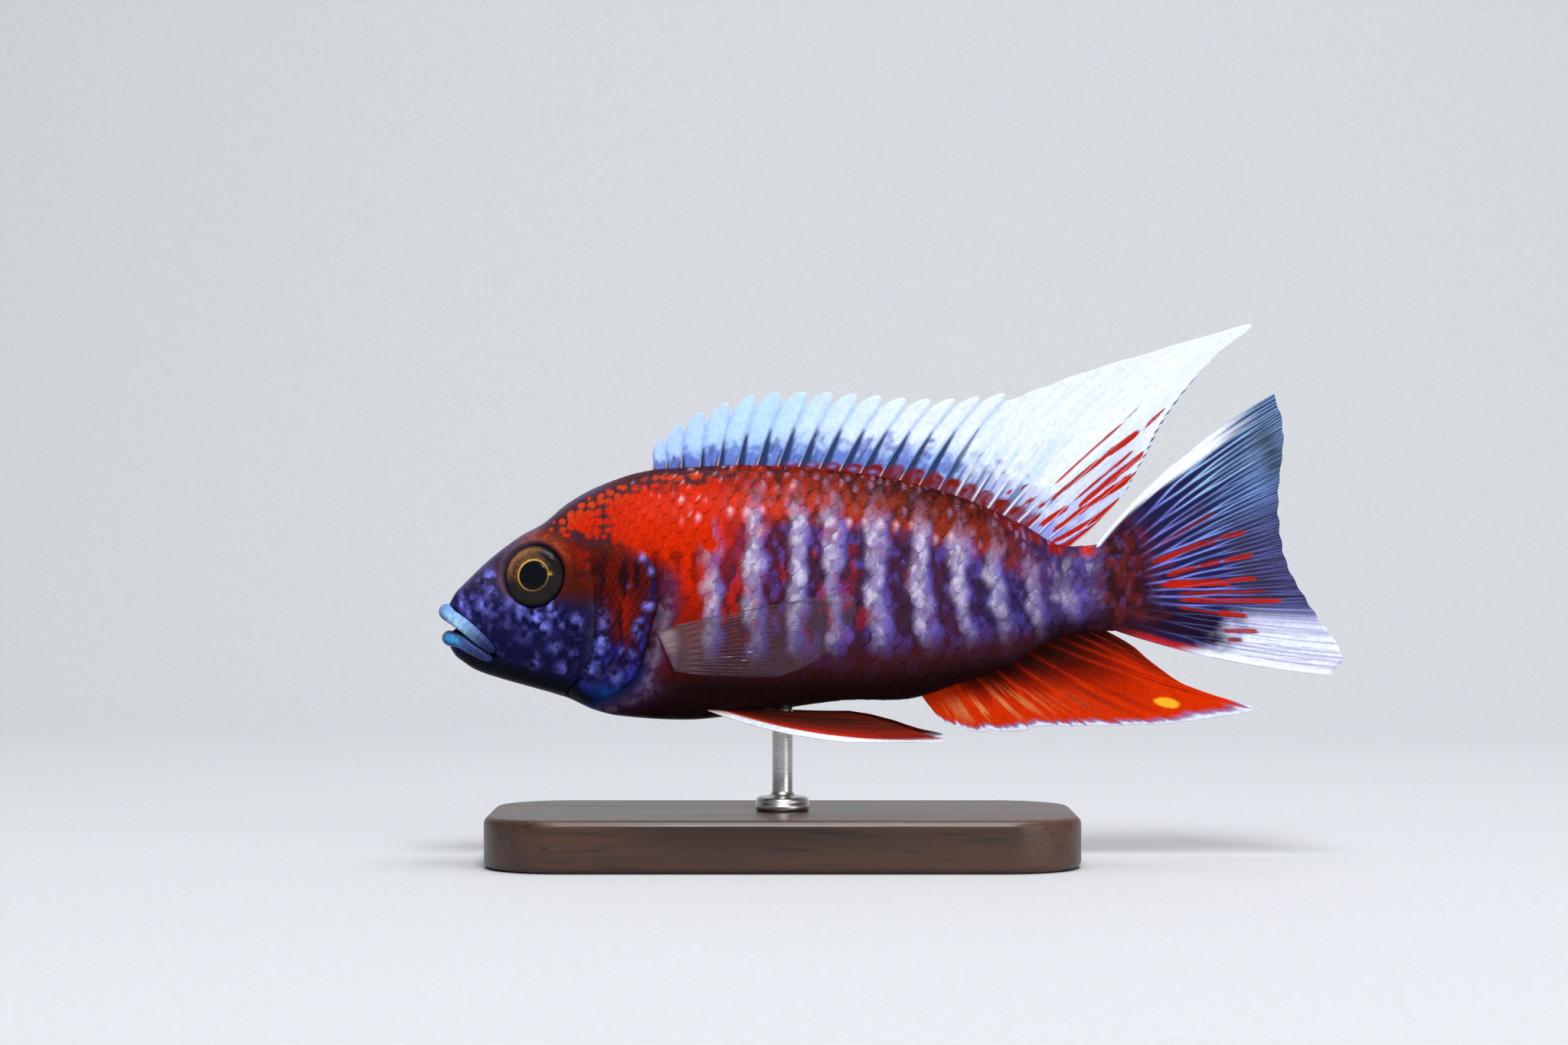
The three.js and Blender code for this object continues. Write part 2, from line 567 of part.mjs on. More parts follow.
const gillPlate = flapFace.intersect(prism(gillOutline(0))).subtract(flapBack);
for (const [name, side] of SIDES) {
  const thisSide = solid(new THREE.BoxGeometry(300, 60, 120).translate(60, side * 30.01, 0));
  add(fish, `eye_${name}`, eye(side), FINISH.eye);
  add(fish, `gill_cover_${name}`, gillPlate.intersect(thisSide), FINISH.shoulder);
}

// Torso and tail stalk
const tailSpace = prism(TAIL);
const torso = carved
  .subtract(headSpace.add(headSpace.translate([GAP, 0, 0])))
  .subtract(tailSpace.add(tailSpace.translate([-GAP, 0, 0])));
add(fish, "torso", torso, FINISH.flank);
add(fish, "tail_stalk", skin.intersect(tailSpace), FINISH.flank);

// Fins
const dorsalColumns = [
  ...finColumns(0, DORSAL_SPINES, SPINE_LOBE).slice(0, -1),
  ...finColumns(DORSAL_SPINES, DORSAL.rays, BETWEEN_RAYS),
];
const dorsal = finSolid(DORSAL, dorsalColumns, evenly(5), dorsalReach);
const anal = finSolid(ANAL, finColumns(0, ANAL.rays, BETWEEN_RAYS), evenly(4), analReach);
const caudal = finSolid(CAUDAL, finColumns(0, CAUDAL.rays, BETWEEN_RAYS), evenly(5), scallop);
add(fish, "dorsal_fin", dorsal.subtract(clearOfSkin), FINISH.paleFin);
add(fish, "anal_fin", anal.subtract(clearOfSkin), FINISH.redFin);
add(fish, "tail_fin", caudal.subtract(clearOfSkin), FINISH.paleFin);
for (const [name, side] of SIDES) {
  const [pelvic, pectoral] = [fin(PELVIC, -side), fin(PECTORAL, -side)];
  const pelvicSolid = finSolid(pelvic, finColumns(0, pelvic.rays, BETWEEN_RAYS), evenly(4), scallop);
  const fleshyRoot = (t) => FLESHY_ROOT.thick * Math.max(0, 1 - t / FLESHY_ROOT.reach);
  const fan = finSolid(pectoral, finColumns(0, pectoral.rays, CLEAR_FAN), evenly(4), scallop, fleshyRoot);
  add(fish, `pelvic_fin_${name}`, pelvicSolid.subtract(clearOfSkin), FINISH.redFin);
  add(fish, `pectoral_fin_${name}`, fan.subtract(clearOfSkin), FINISH.clearFin);
}

add(stand, "stand_base", base(), FINISH.base);
add(stand, "stand_rod", rod(clearOfSkin), FINISH.rod);

export default cichlid;
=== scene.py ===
"""The looks of a life-size male peacock cichlid on its display stand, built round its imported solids.

The fish is drawn in its own frame, in millimetres, as the solids are: s runs along it from the upper lip
towards the tail, y is aside and positive on its right, and h is the height over the line through the eye.
Metres in the shared frame come only when a mesh is made.
"""

import itertools
import logging
import math
from dataclasses import dataclass, field
from enum import Enum

import bpy
import numpy as np
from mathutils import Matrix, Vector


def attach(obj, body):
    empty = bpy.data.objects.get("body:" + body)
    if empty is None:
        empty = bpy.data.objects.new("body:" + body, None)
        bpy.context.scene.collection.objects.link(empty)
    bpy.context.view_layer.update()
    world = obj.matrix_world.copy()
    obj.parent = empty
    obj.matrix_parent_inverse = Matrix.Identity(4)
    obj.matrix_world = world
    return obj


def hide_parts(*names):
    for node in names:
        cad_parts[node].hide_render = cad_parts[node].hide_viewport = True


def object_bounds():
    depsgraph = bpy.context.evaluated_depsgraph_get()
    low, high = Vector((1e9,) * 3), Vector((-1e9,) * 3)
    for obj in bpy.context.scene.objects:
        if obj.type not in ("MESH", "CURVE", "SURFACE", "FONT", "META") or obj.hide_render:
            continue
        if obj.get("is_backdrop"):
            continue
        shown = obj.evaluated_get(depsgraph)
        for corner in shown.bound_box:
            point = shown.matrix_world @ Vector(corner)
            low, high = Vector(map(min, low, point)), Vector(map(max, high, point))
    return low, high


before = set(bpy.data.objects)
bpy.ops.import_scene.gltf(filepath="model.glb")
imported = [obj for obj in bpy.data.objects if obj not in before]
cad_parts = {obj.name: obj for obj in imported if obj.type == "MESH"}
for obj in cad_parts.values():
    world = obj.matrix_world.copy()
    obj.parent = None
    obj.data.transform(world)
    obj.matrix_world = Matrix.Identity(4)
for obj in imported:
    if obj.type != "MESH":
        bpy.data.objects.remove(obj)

Array = np.ndarray
Socket = bpy.types.NodeSocket
LOG = logging.getLogger("cichlid")

BALANCE = 54.0  # the place along the fish that stands over the middle of the base
EYE_LINE = 45.0  # height of the fish's long axis above the floor
MILLIMETRE = 0.001
ROOT = "root"
TINT = "tint"
BAKE_MAP = "OFBake"


class Side(Enum):
    """The two sides of the fish, by the sign of y."""

    LEFT = -1.0
    RIGHT = 1.0

    @property
    def word(self) -> str:
        """The side's name as the nodes have it."""
        return self.name.lower()


class Hue(Enum):
    """The colours of the fish and its stand in soft light: red, green and blue from 0 to 255."""

    MAUVE = (48, 38, 58)
    RIM_GREY = (92, 92, 128)
    SNOUT_LILAC = (54, 52, 112)
    MOTTLE = (128, 132, 240)
    DEEP_BLUE = (14, 14, 54)
    SOFT_VIOLET = (25, 21, 74)
    INK = (6, 8, 18)
    THROAT = (10, 14, 24)
    THROAT_TEAL = (12, 60, 128)
    BROW = (128, 54, 26)
    CHEEK_BROWN = (74, 22, 14)
    NAPE_PLUM = (66, 34, 40)
    NAPE_ORANGE = (186, 58, 22)
    FLAME = (188, 34, 2)
    EMBER = (132, 22, 5)
    GILL_RED = (72, 15, 12)
    GILL_BROWN = (38, 13, 20)
    GILL_BLUE = (52, 48, 160)
    FLESH = (110, 92, 118)
    STRIP_PLUM = (68, 34, 66)
    BACK_RED = (196, 44, 4)
    BACK_BROWN = (130, 40, 18)
    BACK_PLUM = (70, 26, 28)
    BLOTCH = (134, 100, 130)
    FLECK = (232, 184, 200)
    BAR_WHITE = (192, 186, 210)
    BAR_GREY = (142, 128, 170)
    BAR_VIOLET = (88, 74, 168)
    GAP_RED = (158, 28, 8)
    GAP_PLUM = (74, 26, 38)
    GAP_DARK = (58, 32, 56)
    GAP_REAR = (44, 32, 72)
    STALK_VIOLET = (70, 54, 104)
    STALK_BROWN = (46, 18, 26)
    BELLY_RED = (64, 22, 18)
    BELLY_BROWN = (32, 14, 15)
    # pale ice blue of a painted highlight on the upper lip
    LIP_ICE = (176, 220, 250)
    LIP_BLUE = (84, 118, 176)
    LIP_DUSK = (40, 50, 98)
    LIP_CYAN = (50, 168, 226)
    MOUTH = (5, 5, 9)
    IRIS_OLIVE = (34, 28, 22)
    IRIS_TAN = (150, 102, 62)
    IRIS_RING = (255, 200, 84)
    IRIS_DARK = (13, 11, 13)
    # grey of a painted reflection on the eye
    IRIS_GREY = (112, 112, 118)
    ORBIT = (98, 66, 70)
    PUPIL = (1, 1, 2)
    FIN_WHITE = (230, 236, 250)
    FIN_ICE = (156, 200, 242)
    FIN_SKY = (132, 170, 232)
    FIN_BLUE = (76, 88, 186)
    FIN_SLATE = (40, 56, 96)
    FIN_NAVY = (30, 27, 66)
    FIN_LILAC = (122, 130, 222)
    FIN_STEEL = (84, 112, 168)
    FIN_SMOKE = (46, 42, 62)
    FIN_OLIVE = (44, 54, 60)
    FIN_ORCHID = (122, 112, 166)
    FIN_RED = (182, 32, 12)
    FIN_BRICK = (118, 28, 16)
    FIN_ORANGE = (206, 46, 3)
    FIN_RUST = (122, 14, 4)
    FIN_WINE = (44, 18, 12)
    FIN_BLACK = (26, 14, 30)
    FIN_UMBER = (28, 12, 9)
    FIN_CREAM = (232, 158, 96)
    EGG_SPOT = (252, 176, 40)
    CLEAR = (96, 72, 76)
    CLEAR_RAY = (104, 84, 90)
    FIN_FLESH = (142, 114, 110)
    WALNUT = (46, 28, 19)
    WALNUT_LIGHT = (78, 48, 31)
    STEEL = (196, 194, 190)
    PAPER = (186, 188, 192)

    @property
    def light(self) -> Array:
        """The colour as an amount of light in each of red, green and blue."""
        value = np.array(self.value, float) / 255.0
        return np.where(value <= 0.04045, value / 12.92, ((value + 0.055) / 1.055) ** 2.4)

    @property
    def rgba(self) -> tuple[float, float, float, float]:
        """The colour as a shader's socket takes it."""
        red, green, blue = self.light
        return (float(red), float(green), float(blue), 1.0)


def soft(start: float | Array, end: float | Array, x: Array) -> Array:
    """Rises smoothly from 0 at start to 1 at end, which may be the smaller of the two.

    Args:
        start: Where it is 0.
        end: Where it is 1.
        x: The places to judge.

    Returns:
        The share at each place.
    """
    t = np.clip((x - start) / (end - start), 0.0, 1.0)
    return t * t * (3.0 - 2.0 * t)


def near(x: Array, middle: float | Array, width: float | Array) -> Array:
    """A soft bump of height 1 round a middle."""
    return np.exp(-(((x - middle) / width) ** 2))


def paint(ground: Hue | Array, *coats: tuple[Hue | Array, float | Array]) -> Array:
    """Lays coats of colour over a ground, one after another.

    Args:
        ground: The colour below.
        coats: Each coat's colour, and how much of it covers, from 0 to 1.

    Returns:
        The colour that shows.
    """
    shown = ground.light if isinstance(ground, Hue) else ground
    for over, share in coats:
        top = over.light if isinstance(over, Hue) else over
        weight = np.clip(np.asarray(share), 0.0, 1.0)[..., None]
        shown = shown * (1.0 - weight) + top * weight
    return shown


def quarter_round(t: Array) -> Array:
    """A quarter circle's rise, from 0 to 1."""
    return np.sqrt(np.clip(1.0 - (1.0 - np.clip(t, 0.0, 1.0)) ** 2, 0.0, 1.0))


def unit(vectors: Array) -> Array:
    """The vectors at length 1."""
    return vectors / np.maximum(np.linalg.norm(vectors, axis=-1, keepdims=True), 1e-9)


def at_place(points: Array) -> Array:
    """Points of the fish's own frame as metres in the shared frame."""
    moved = points + np.array([-BALANCE, 0.0, EYE_LINE])
    return moved * MILLIMETRE


class Curve:
    """A smooth function through knots of place and value."""

    def __init__(self, *knots: tuple[float, float]) -> None:
        """Works out the slope at each knot from its neighbours.

        Args:
            knots: The places and values, in order.
        """
        self.x, self.y = np.array(knots, float).T
        order = np.arange(len(self.x))
        ahead, behind = np.minimum(order + 1, order[-1]), np.maximum(order - 1, 0)
        self.slope = (self.y[ahead] - self.y[behind]) / (self.x[ahead] - self.x[behind])

    def __call__(self, place: float | Array) -> Array:
        """The value at each place, held at the ends.

        Args:
            place: Where it is read.

        Returns:
            The values.
        """
        place = np.asarray(place, float)
        i = np.clip(np.searchsorted(self.x, place, side="left") - 1, 0, len(self.x) - 2)
        width = self.x[i + 1] - self.x[i]
        t = np.clip((place - self.x[i]) / width, 0.0, 1.0)
        start, end = self.slope[i] * width, self.slope[i + 1] * width
        rise = self.y[i + 1] - self.y[i]
        return self.y[i] + t * (start + t * (3 * rise - 2 * start - end + t * (start + end - 2 * rise)))


class Grain:
    """Smooth noise over space that is the same on each run."""

    def __init__(self, seed: int) -> None:
        """Draws the noise's own table.

        Args:
            seed: Which noise it is.
        """
        self.table = np.random.default_rng(seed).random(8192)

    def __call__(self, *axes: Array) -> Array:
        """Noise from 0 to 1, with one lump for each unit along the axes.

        Args:
            axes: One, two or three coordinates, each divided by the lump's size.

        Returns:
            The noise at each place.
        """
        cells = [np.floor(a).astype(np.int64) for a in axes]
        shares = [soft(0.0, 1.0, a - c) for a, c in zip(axes, cells)]
        total = np.zeros(np.broadcast(*axes).shape if len(axes) > 1 else np.shape(axes[0]))
        primes = (73856093, 19349663, 83492791)
        for corner in range(2 ** len(axes)):
            weight, key = 1.0, 0
            for k, (cell, share) in enumerate(zip(cells, shares)):
                up = corner >> k & 1
                weight = weight * (share if up else 1.0 - share)
                key = key ^ ((cell + up) * primes[k])
            total = total + weight * self.table[key & 8191]
        return total

    def spots(self, x: Array, y: Array) -> Array:
        """How far each place lies from the nearest of scattered points, one of them for each unit square.

        Args:
            x: The places along one axis.
            y: The places along the other.

        Returns:
            The distances.
        """
        nearest = np.full(np.shape(x), 9.0)
        for i in (-1, 0, 1):
            for j in (-1, 0, 1):
                column, row = np.floor(x).astype(np.int64) + i, np.floor(y).astype(np.int64) + j
                key = (column * 73856093) ^ (row * 19349663)
                shift_x, shift_y = self.table[key & 8191], self.table[(key + 917) & 8191]
                apart = np.hypot(column + 0.2 + 0.6 * shift_x - x, row + 0.2 + 0.6 * shift_y - y)
                nearest = np.minimum(nearest, apart)
        return nearest

    def layered(self, *axes: Array) -> Array:
        """Noise of three sizes, each half the last."""
        parts = [self(*(a * 2**k + 17.3 * k for a in axes)) * 0.5**k for k in range(3)]
        return sum(parts) / 1.75


BACK = Curve(
    (0, -4.9), (1.9, -3.7), (3.4, -2.2), (8.2, 2.4), (13, 6.0), (16.6, 8.0), (20.2, 11.0), (25, 13.7),
    (32.2, 16.1), (40, 16.8), (49, 17.1), (60, 16.5), (72, 14.8), (83, 11.7), (92.2, 7.5), (97, 4.7),
    (101.8, 4.5), (105, 4.9), (110.8, 5.6),
)
BELLY = Curve(
    (0, -10.9), (1.3, -11.7), (3.4, -13.3), (5.8, -14.9), (9.4, -16.2), (15.4, -17.9), (20.2, -19.3),
    (24.4, -21.2), (28.6, -22.2), (39.4, -22.8), (48, -21.9), (63.4, -19.8), (74, -19.5), (81.4, -17.2),
    (89.8, -14.2), (94.6, -11.2), (99.4, -9.4), (105.4, -8.9), (110.8, -9.2),
)
HALF_WIDTH = Curve(
    (0, 2.0), (3.4, 3.3), (8.2, 4.9), (13, 6.0), (20, 7.5), (27, 8.4), (35, 8.7), (45, 8.5), (55, 8.1),
    (65, 7.4), (75, 6.5), (85, 5.2), (92, 4.2), (98, 3.4), (104, 2.5), (108, 1.7), (110.8, 0.9),
)
UPPER_FULLNESS = Curve((0, 2.3), (16, 2.3), (35, 1.9), (80, 1.85), (111, 2))


@dataclass(frozen=True)
class Body:
    """The fish's smooth form, without relief."""

    nose: float = 1.0
    stalk_end: float = 110.8
    nose_round: float = 2.2
    stalk_round: float = 4.2
    stalk_edge: float = 0.35
    lower_fullness: float = 2.25
    wedge: float = 0.5

    def section(self, s: Array) -> tuple[Array, Array, Array, Array, Array]:
        """The cross-section at places along the fish.

        Args:
            s: The places.

        Returns:
            The middle's height, the reach up and down from it, the half width, and how square the top is.
        """
        top, bottom = BACK(s), BELLY(s)
        middle = (top + bottom) / 2
        nose = quarter_round((s - self.nose) / self.nose_round)
        stalk = quarter_round((self.stalk_end - s) / self.stalk_round)
        width = HALF_WIDTH(s) * nose * (self.stalk_edge + (1 - self.stalk_edge) * stalk)
        width = width * (1 - self.wedge * soft(103.0, 110.0, s))
        return middle, (top - middle) * nose * stalk, (middle - bottom) * nose * stalk, width, UPPER_FULLNESS(s)

    def ring(self, s: Array, turn: Array) -> Array:
        """Points on the body.

        Args:
            s: Places along the fish.
            turn: The angle round the section: 0 at the right side line, a quarter turn at the top.

        Returns:
            The points.
        """
        middle, up, down, width, fullness = self.section(s)
        across, rise = np.cos(turn), np.sin(turn)
        power = 2 / np.where(rise > 0, fullness, self.lower_fullness)
        y = width * np.sign(across) * np.abs(across) ** power
        h = middle + np.where(rise > 0, up, -down) * np.abs(rise) ** power
        return np.stack(np.broadcast_arrays(s, y, h), axis=-1)

    def outward(self, s: Array, turn: Array) -> Array:
        """The direction out of the body at the points that ring gives.

        Args:
            s: Places along the fish.
            turn: The angle round the section, as for ring.

        Returns:
            The directions.
        """
        step_s, step_turn = 0.15, 0.012
        along = self.ring(s + step_s, turn) - self.ring(s - step_s, turn)
        round_it = self.ring(s, turn + step_turn) - self.ring(s, turn - step_turn)
        return unit(np.cross(round_it, along))

    def aside(self, s: float | Array, h: float | Array) -> Array:
        """How far the skin lies aside of the middle at places on the side view.

        Args:
            s: Places along the fish.
            h: Their heights.

        Returns:
            The distances.
        """
        middle, up, down, width, fullness = self.section(np.asarray(s, float))
        reach = np.where(h > middle, up, down)
        power = np.where(h > middle, fullness, self.lower_fullness)
        share = np.clip(np.abs(h - middle) / reach, 0.0, 1.0)
        return width * (1 - share**power) ** (1 / power)

    def on_skin(self, s: float, h: float) -> tuple[Array, Array]:
        """A point of the right side and the direction out of it, worked out as in the solids.

        Args:
            s: Its place along the fish.
            h: Its height.

        Returns:
            The point and the direction.
        """
        step = 0.8
        along = (self.aside(s + step, h) - self.aside(s - step, h)) / (2 * step)
        high = (self.aside(s, h + step) - self.aside(s, h - step)) / (2 * step)
        return np.array([s, float(self.aside(s, h)), h]), unit(np.array([-along, 1.0, -high], float))


@dataclass(frozen=True)
class EyeSizes:
    """The sizes of an eye, as in the solids."""

    s: float = 15.4
    h: float = -0.1
    radius: float = 4.7
    bulge: float = 1.1
    depth: float = 2.7
    pupil: float = 2.28
    sunk: float = 0.35


GILL_EDGE = Curve(
    (-22.5, 17.0), (-21.0, 21.5), (-18.6, 27.4), (-16.8, 30.4), (-13.2, 32.3), (-8.6, 33.5), (-4.2, 34.7),
    (-0.6, 34.8), (2.0, 33.9), (4.0, 32.2),
)
CHEEK_EDGE = Curve((-18.0, 20.5), (-15.2, 23.2), (-11.0, 24.5), (-7.0, 25.0), (-2.0, 24.8), (1.0, 24.2))
MOUTH_LINE = Curve((0.0, -7.6), (1.6, -8.1), (3.9, -9.2), (6.0, -10.7), (8.0, -12.0), (10.0, -13.2))
FLAME_EDGE = Curve((14, 6.4), (18, 6.6), (21, 6.2), (23.3, 5.8), (26, 5.0), (30.6, 3.9), (35, 1.6), (40, -1.5))
LATERAL_LINE = 7.9  # how far the row of pored scales lies below the back


@dataclass(frozen=True)
class Relief:
    """What stands out of or sinks into the smooth form: sockets, nostrils, gill openings, cheek and mouth."""

    body: Body
    eye: EyeSizes
    socket_depth: float = 1.7
    rim_height: float = 0.3
    nostril_s: float = 6.9
    nostril_h: float = -1.4
    flap_lift: float = 0.55
    crease: float = 0.75
    cheek_step: float = 0.28
    mouth_depth: float = 1.9

    def past_gill_edge(self, s: Array, h: Array) -> Array:
        """How far behind the gill cover's rear edge a place lies, negative on the cover."""
        slope = (GILL_EDGE(h + 0.3) - GILL_EDGE(h - 0.3)) / 0.6
        return (s - GILL_EDGE(h)) / np.sqrt(1 + slope**2)

    def past_cheek(self, s: Array, h: Array) -> Array:
        """How far behind the cheek's rear edge a place lies."""
        slope = (CHEEK_EDGE(h + 0.3) - CHEEK_EDGE(h - 0.3)) / 0.6
        return (s - CHEEK_EDGE(h)) / np.sqrt(1 + slope**2)

    def from_axis(self, points: Array, s: float, h: float) -> Array:
        """How far points lie from the line that leaves the skin at a place, the left side folded to the right.

        Args:
            points: The points.
            s: The place along the fish.
            h: The place's height.

        Returns:
            The distances.
        """
        middle, out = self.body.on_skin(s, h)
        folded = points * np.array([1.0, 0.0, 1.0]) + np.abs(points) * np.array([0.0, 1.0, 0.0])
        away = folded - middle
        return np.linalg.norm(away - (away @ out)[..., None] * out, axis=-1)

    def beside_edge(self, points: Array, behind: bool) -> Array:
        """Keeps points on one side of the gill cover's rear edge.

        Args:
            points: Points of the smooth form.
            behind: Whether they are kept behind the edge, or before it.

        Returns:
            The points, those on the wrong side moved to just past the edge.
        """
        h = points[:, 2]
        edge = GILL_EDGE(h) + (0.3 if behind else -0.15)
        kept = np.maximum(points[:, 0], edge) if behind else np.minimum(points[:, 0], edge)
        moved = points.copy()
        moved[:, 0] = np.where(h < 4.4, kept, points[:, 0])
        return moved

    def height(self, points: Array) -> Array:
        """How far the skin stands out of the smooth form.

        Args:
            points: Points of the smooth form.

        Returns:
            The height at each, negative where it sinks.
        """
        s, h = points[..., 0], points[..., 2]
        ring = self.from_axis(points, self.eye.s, self.eye.h)
        raised = -self.socket_depth * soft(5.05, 4.55, ring) + self.rim_height * near(ring, 5.45, 0.42)
        raised -= 0.16 * near(ring, 6.5, 0.5)
        pit = self.from_axis(points, self.nostril_s, self.nostril_h)
        raised += 0.26 * near(pit, 0.8, 0.28) - 0.7 * near(pit, 0.0, 0.42)
        behind = self.past_gill_edge(s, h)
        held = soft(4.4, 0.6, h) * soft(0.4, 3.2, h - BELLY(s))
        lift = self.flap_lift * soft(-8.0, -0.6, behind) * soft(0.1, -0.1, behind)
        raised += held * (lift - self.crease * soft(-0.06, 0.1, behind) * soft(1.7, 0.15, behind))
        cheek = self.past_cheek(s, h)
        on_cheek = soft(2.6, 0.4, h) * soft(-19.5, -17.5, h)
        step = self.cheek_step * soft(-3.5, -0.1, cheek) * soft(0.12, -0.08, cheek)
        raised += on_cheek * (step - 0.22 * near(cheek, 0.2, 0.3))
        open_height = 0.3 + 0.75 * soft(9.5, 2.0, s)
        gape = self.mouth_depth * near(h, MOUTH_LINE(s), open_height)
        raised -= gape * soft(10.2, 8.0, s) * soft(1.6, 3.4, s)
        raised -= 0.3 * near(h, MOUTH_LINE(s) - 0.3, 0.7) * near(s, 10.4, 1.5)
        return raised


STALK_GRAIN = Grain(97)


def stalk_end(s: Array, h: Array) -> Array:
    """The mottled red brown where the tail stalk ends and the tail fin begins.

    Args:
        s: Places along the fish.
        h: Their heights.

    Returns:
        The colours.
    """
    speck = STALK_GRAIN.layered(s * 0.6, h * 0.6)
    dots = STALK_GRAIN.layered(s * 0.9 + 40.0, h * 0.45)
    return paint(
        Hue.STALK_BROWN,
        (Hue.STALK_VIOLET, soft(0.52, 0.66, STALK_GRAIN.layered(s * 1.1 + 9, h * 0.8)) * soft(-7, -4, h) * 0.6),
        (Hue.BACK_BROWN, soft(0.42, 0.66, speck) * 0.3),
        (Hue.FIN_BRICK, soft(0.56, 0.72, dots) * soft(-3.0, 3.0, h) * 0.38),
    )


class Unrolled:
    """The body's skin laid flat: s along it, and round it from the side line, up being positive."""

    stations: int = 429
    half_steps: int = 180
    columns: int = 241

    def __init__(self, body: Body) -> None:
        """Measures the way round each section.

        Args:
            body: The form to unroll.
        """
        self.body = body
        self.s = np.linspace(3.0, 110.0, self.stations)
        turns = np.linspace(-math.pi / 2, math.pi / 2, 2 * self.half_steps + 1)
        points = body.ring(self.s[:, None], turns[None, :])
        steps = np.linalg.norm(np.diff(points, axis=1), axis=-1)
        way = np.concatenate([np.zeros((len(self.s), 1)), np.cumsum(steps, axis=1)], axis=1)
        way -= way[:, self.half_steps, None]
        self.top, self.bottom = way[:, -1], -way[:, 0]
        self.shares = np.linspace(-1.0, 1.0, self.columns)
        reach = np.where(self.shares[None, :] > 0, self.top[:, None], self.bottom[:, None])
        wanted = self.shares[None, :] * reach
        self.turn = np.stack([np.interp(w, row, turns) for w, row in zip(wanted, way)])

    def reach(self, s: Array) -> tuple[Array, Array]:
        """How far it is round the skin from the side line up to the back and down to the belly."""
        return np.interp(s, self.s, self.top), np.interp(s, self.s, self.bottom)

    def wrap(self, s: Array, way: Array) -> tuple[Array, Array]:
        """Lays flat places on the right side of the body.

        Args:
            s: Places along the fish.
            way: The way round from the side line. Past the back or the belly it goes down the other side.

        Returns:
            The points and the directions out of the body.
        """
        top, bottom = self.reach(s)
        over = np.where(way > top, -1.0, np.where(way < -bottom, -1.0, 1.0))
        way = np.where(way > top, 2 * top - way, np.where(way < -bottom, -2 * bottom - way, way))
        share = np.clip(way / np.where(way > 0, top, bottom), -1.0, 1.0)
        i = np.clip((s - self.s[0]) / (self.s[1] - self.s[0]), 0, len(self.s) - 1.001)
        j = np.clip((share + 1) / 2 * (len(self.shares) - 1), 0, len(self.shares) - 1.001)
        i0, j0 = i.astype(int), j.astype(int)
        fi, fj = i - i0, j - j0
        low = self.turn[i0, j0] * (1 - fj) + self.turn[i0, j0 + 1] * fj
        high = self.turn[i0 + 1, j0] * (1 - fj) + self.turn[i0 + 1, j0 + 1] * fj
        turn = low * (1 - fi) + high * fi
        flip = np.stack([np.ones_like(over), over, np.ones_like(over)], axis=-1)
        return self.body.ring(s, turn) * flip, self.body.outward(s, turn) * flip


BAR_PHASE = Curve(  # where on the flank the bars' middles are: a whole number at each
    (36.4, -1), (43.0, 0), (50.0, 1), (56.4, 2), (61.9, 3), (68.7, 4), (75.8, 5), (82.1, 6), (87.7, 7),
    (93.6, 8), (99.2, 9), (104.6, 10), (110.0, 11),
)
MOTTLES = (  # along, height, radius and strength of the face's bright mottles
    (8.4, -0.6, 1.0, 1.0), (3.9, -4.3, 0.8, 0.8), (7.6, -4.7, 1.0, 0.8), (5.4, -6.0, 0.7, 0.7),
    (9.0, -2.3, 0.9, 0.8), (11.4, -4.6, 0.9, 0.7), (13.3, -5.7, 0.9, 0.9), (15.7, -6.4, 1.2, 1.2),
    (18.3, -5.3, 1.0, 1.0), (17.0, -8.1, 1.0, 0.9), (22.1, -7.3, 0.9, 0.8), (19.6, -7.7, 0.7, 0.7),
    (14.0, -9.4, 0.9, 0.5), (18.7, -11.1, 0.9, 0.5), (21.9, -12.6, 0.8, 0.6), (20.0, -14.6, 1.1, 0.5),
    (15.3, -13.4, 1.0, 0.5), (26.0, -5.1, 0.7, 0.8), (26.6, -7.3, 0.8, 0.8), (26.1, -9.9, 1.1, 1.1),
    (25.6, -12.4, 1.1, 0.9), (24.6, -15.0, 1.0, 0.7), (29.2, -11.8, 0.6, 0.7), (30.5, -12.9, 1.2, 0.8),
    (31.6, -8.8, 1.0, 1.1), (33.3, -4.6, 0.9, 1.1), (33.7, 0.6, 0.6, 0.8), (32.4, 2.6, 0.6, 0.8),
    (30.3, -1.7, 0.35, 0.25), (31.9, -6.6, 0.7, 0.8), (28.2, -15.4, 1.2, 0.6),
)


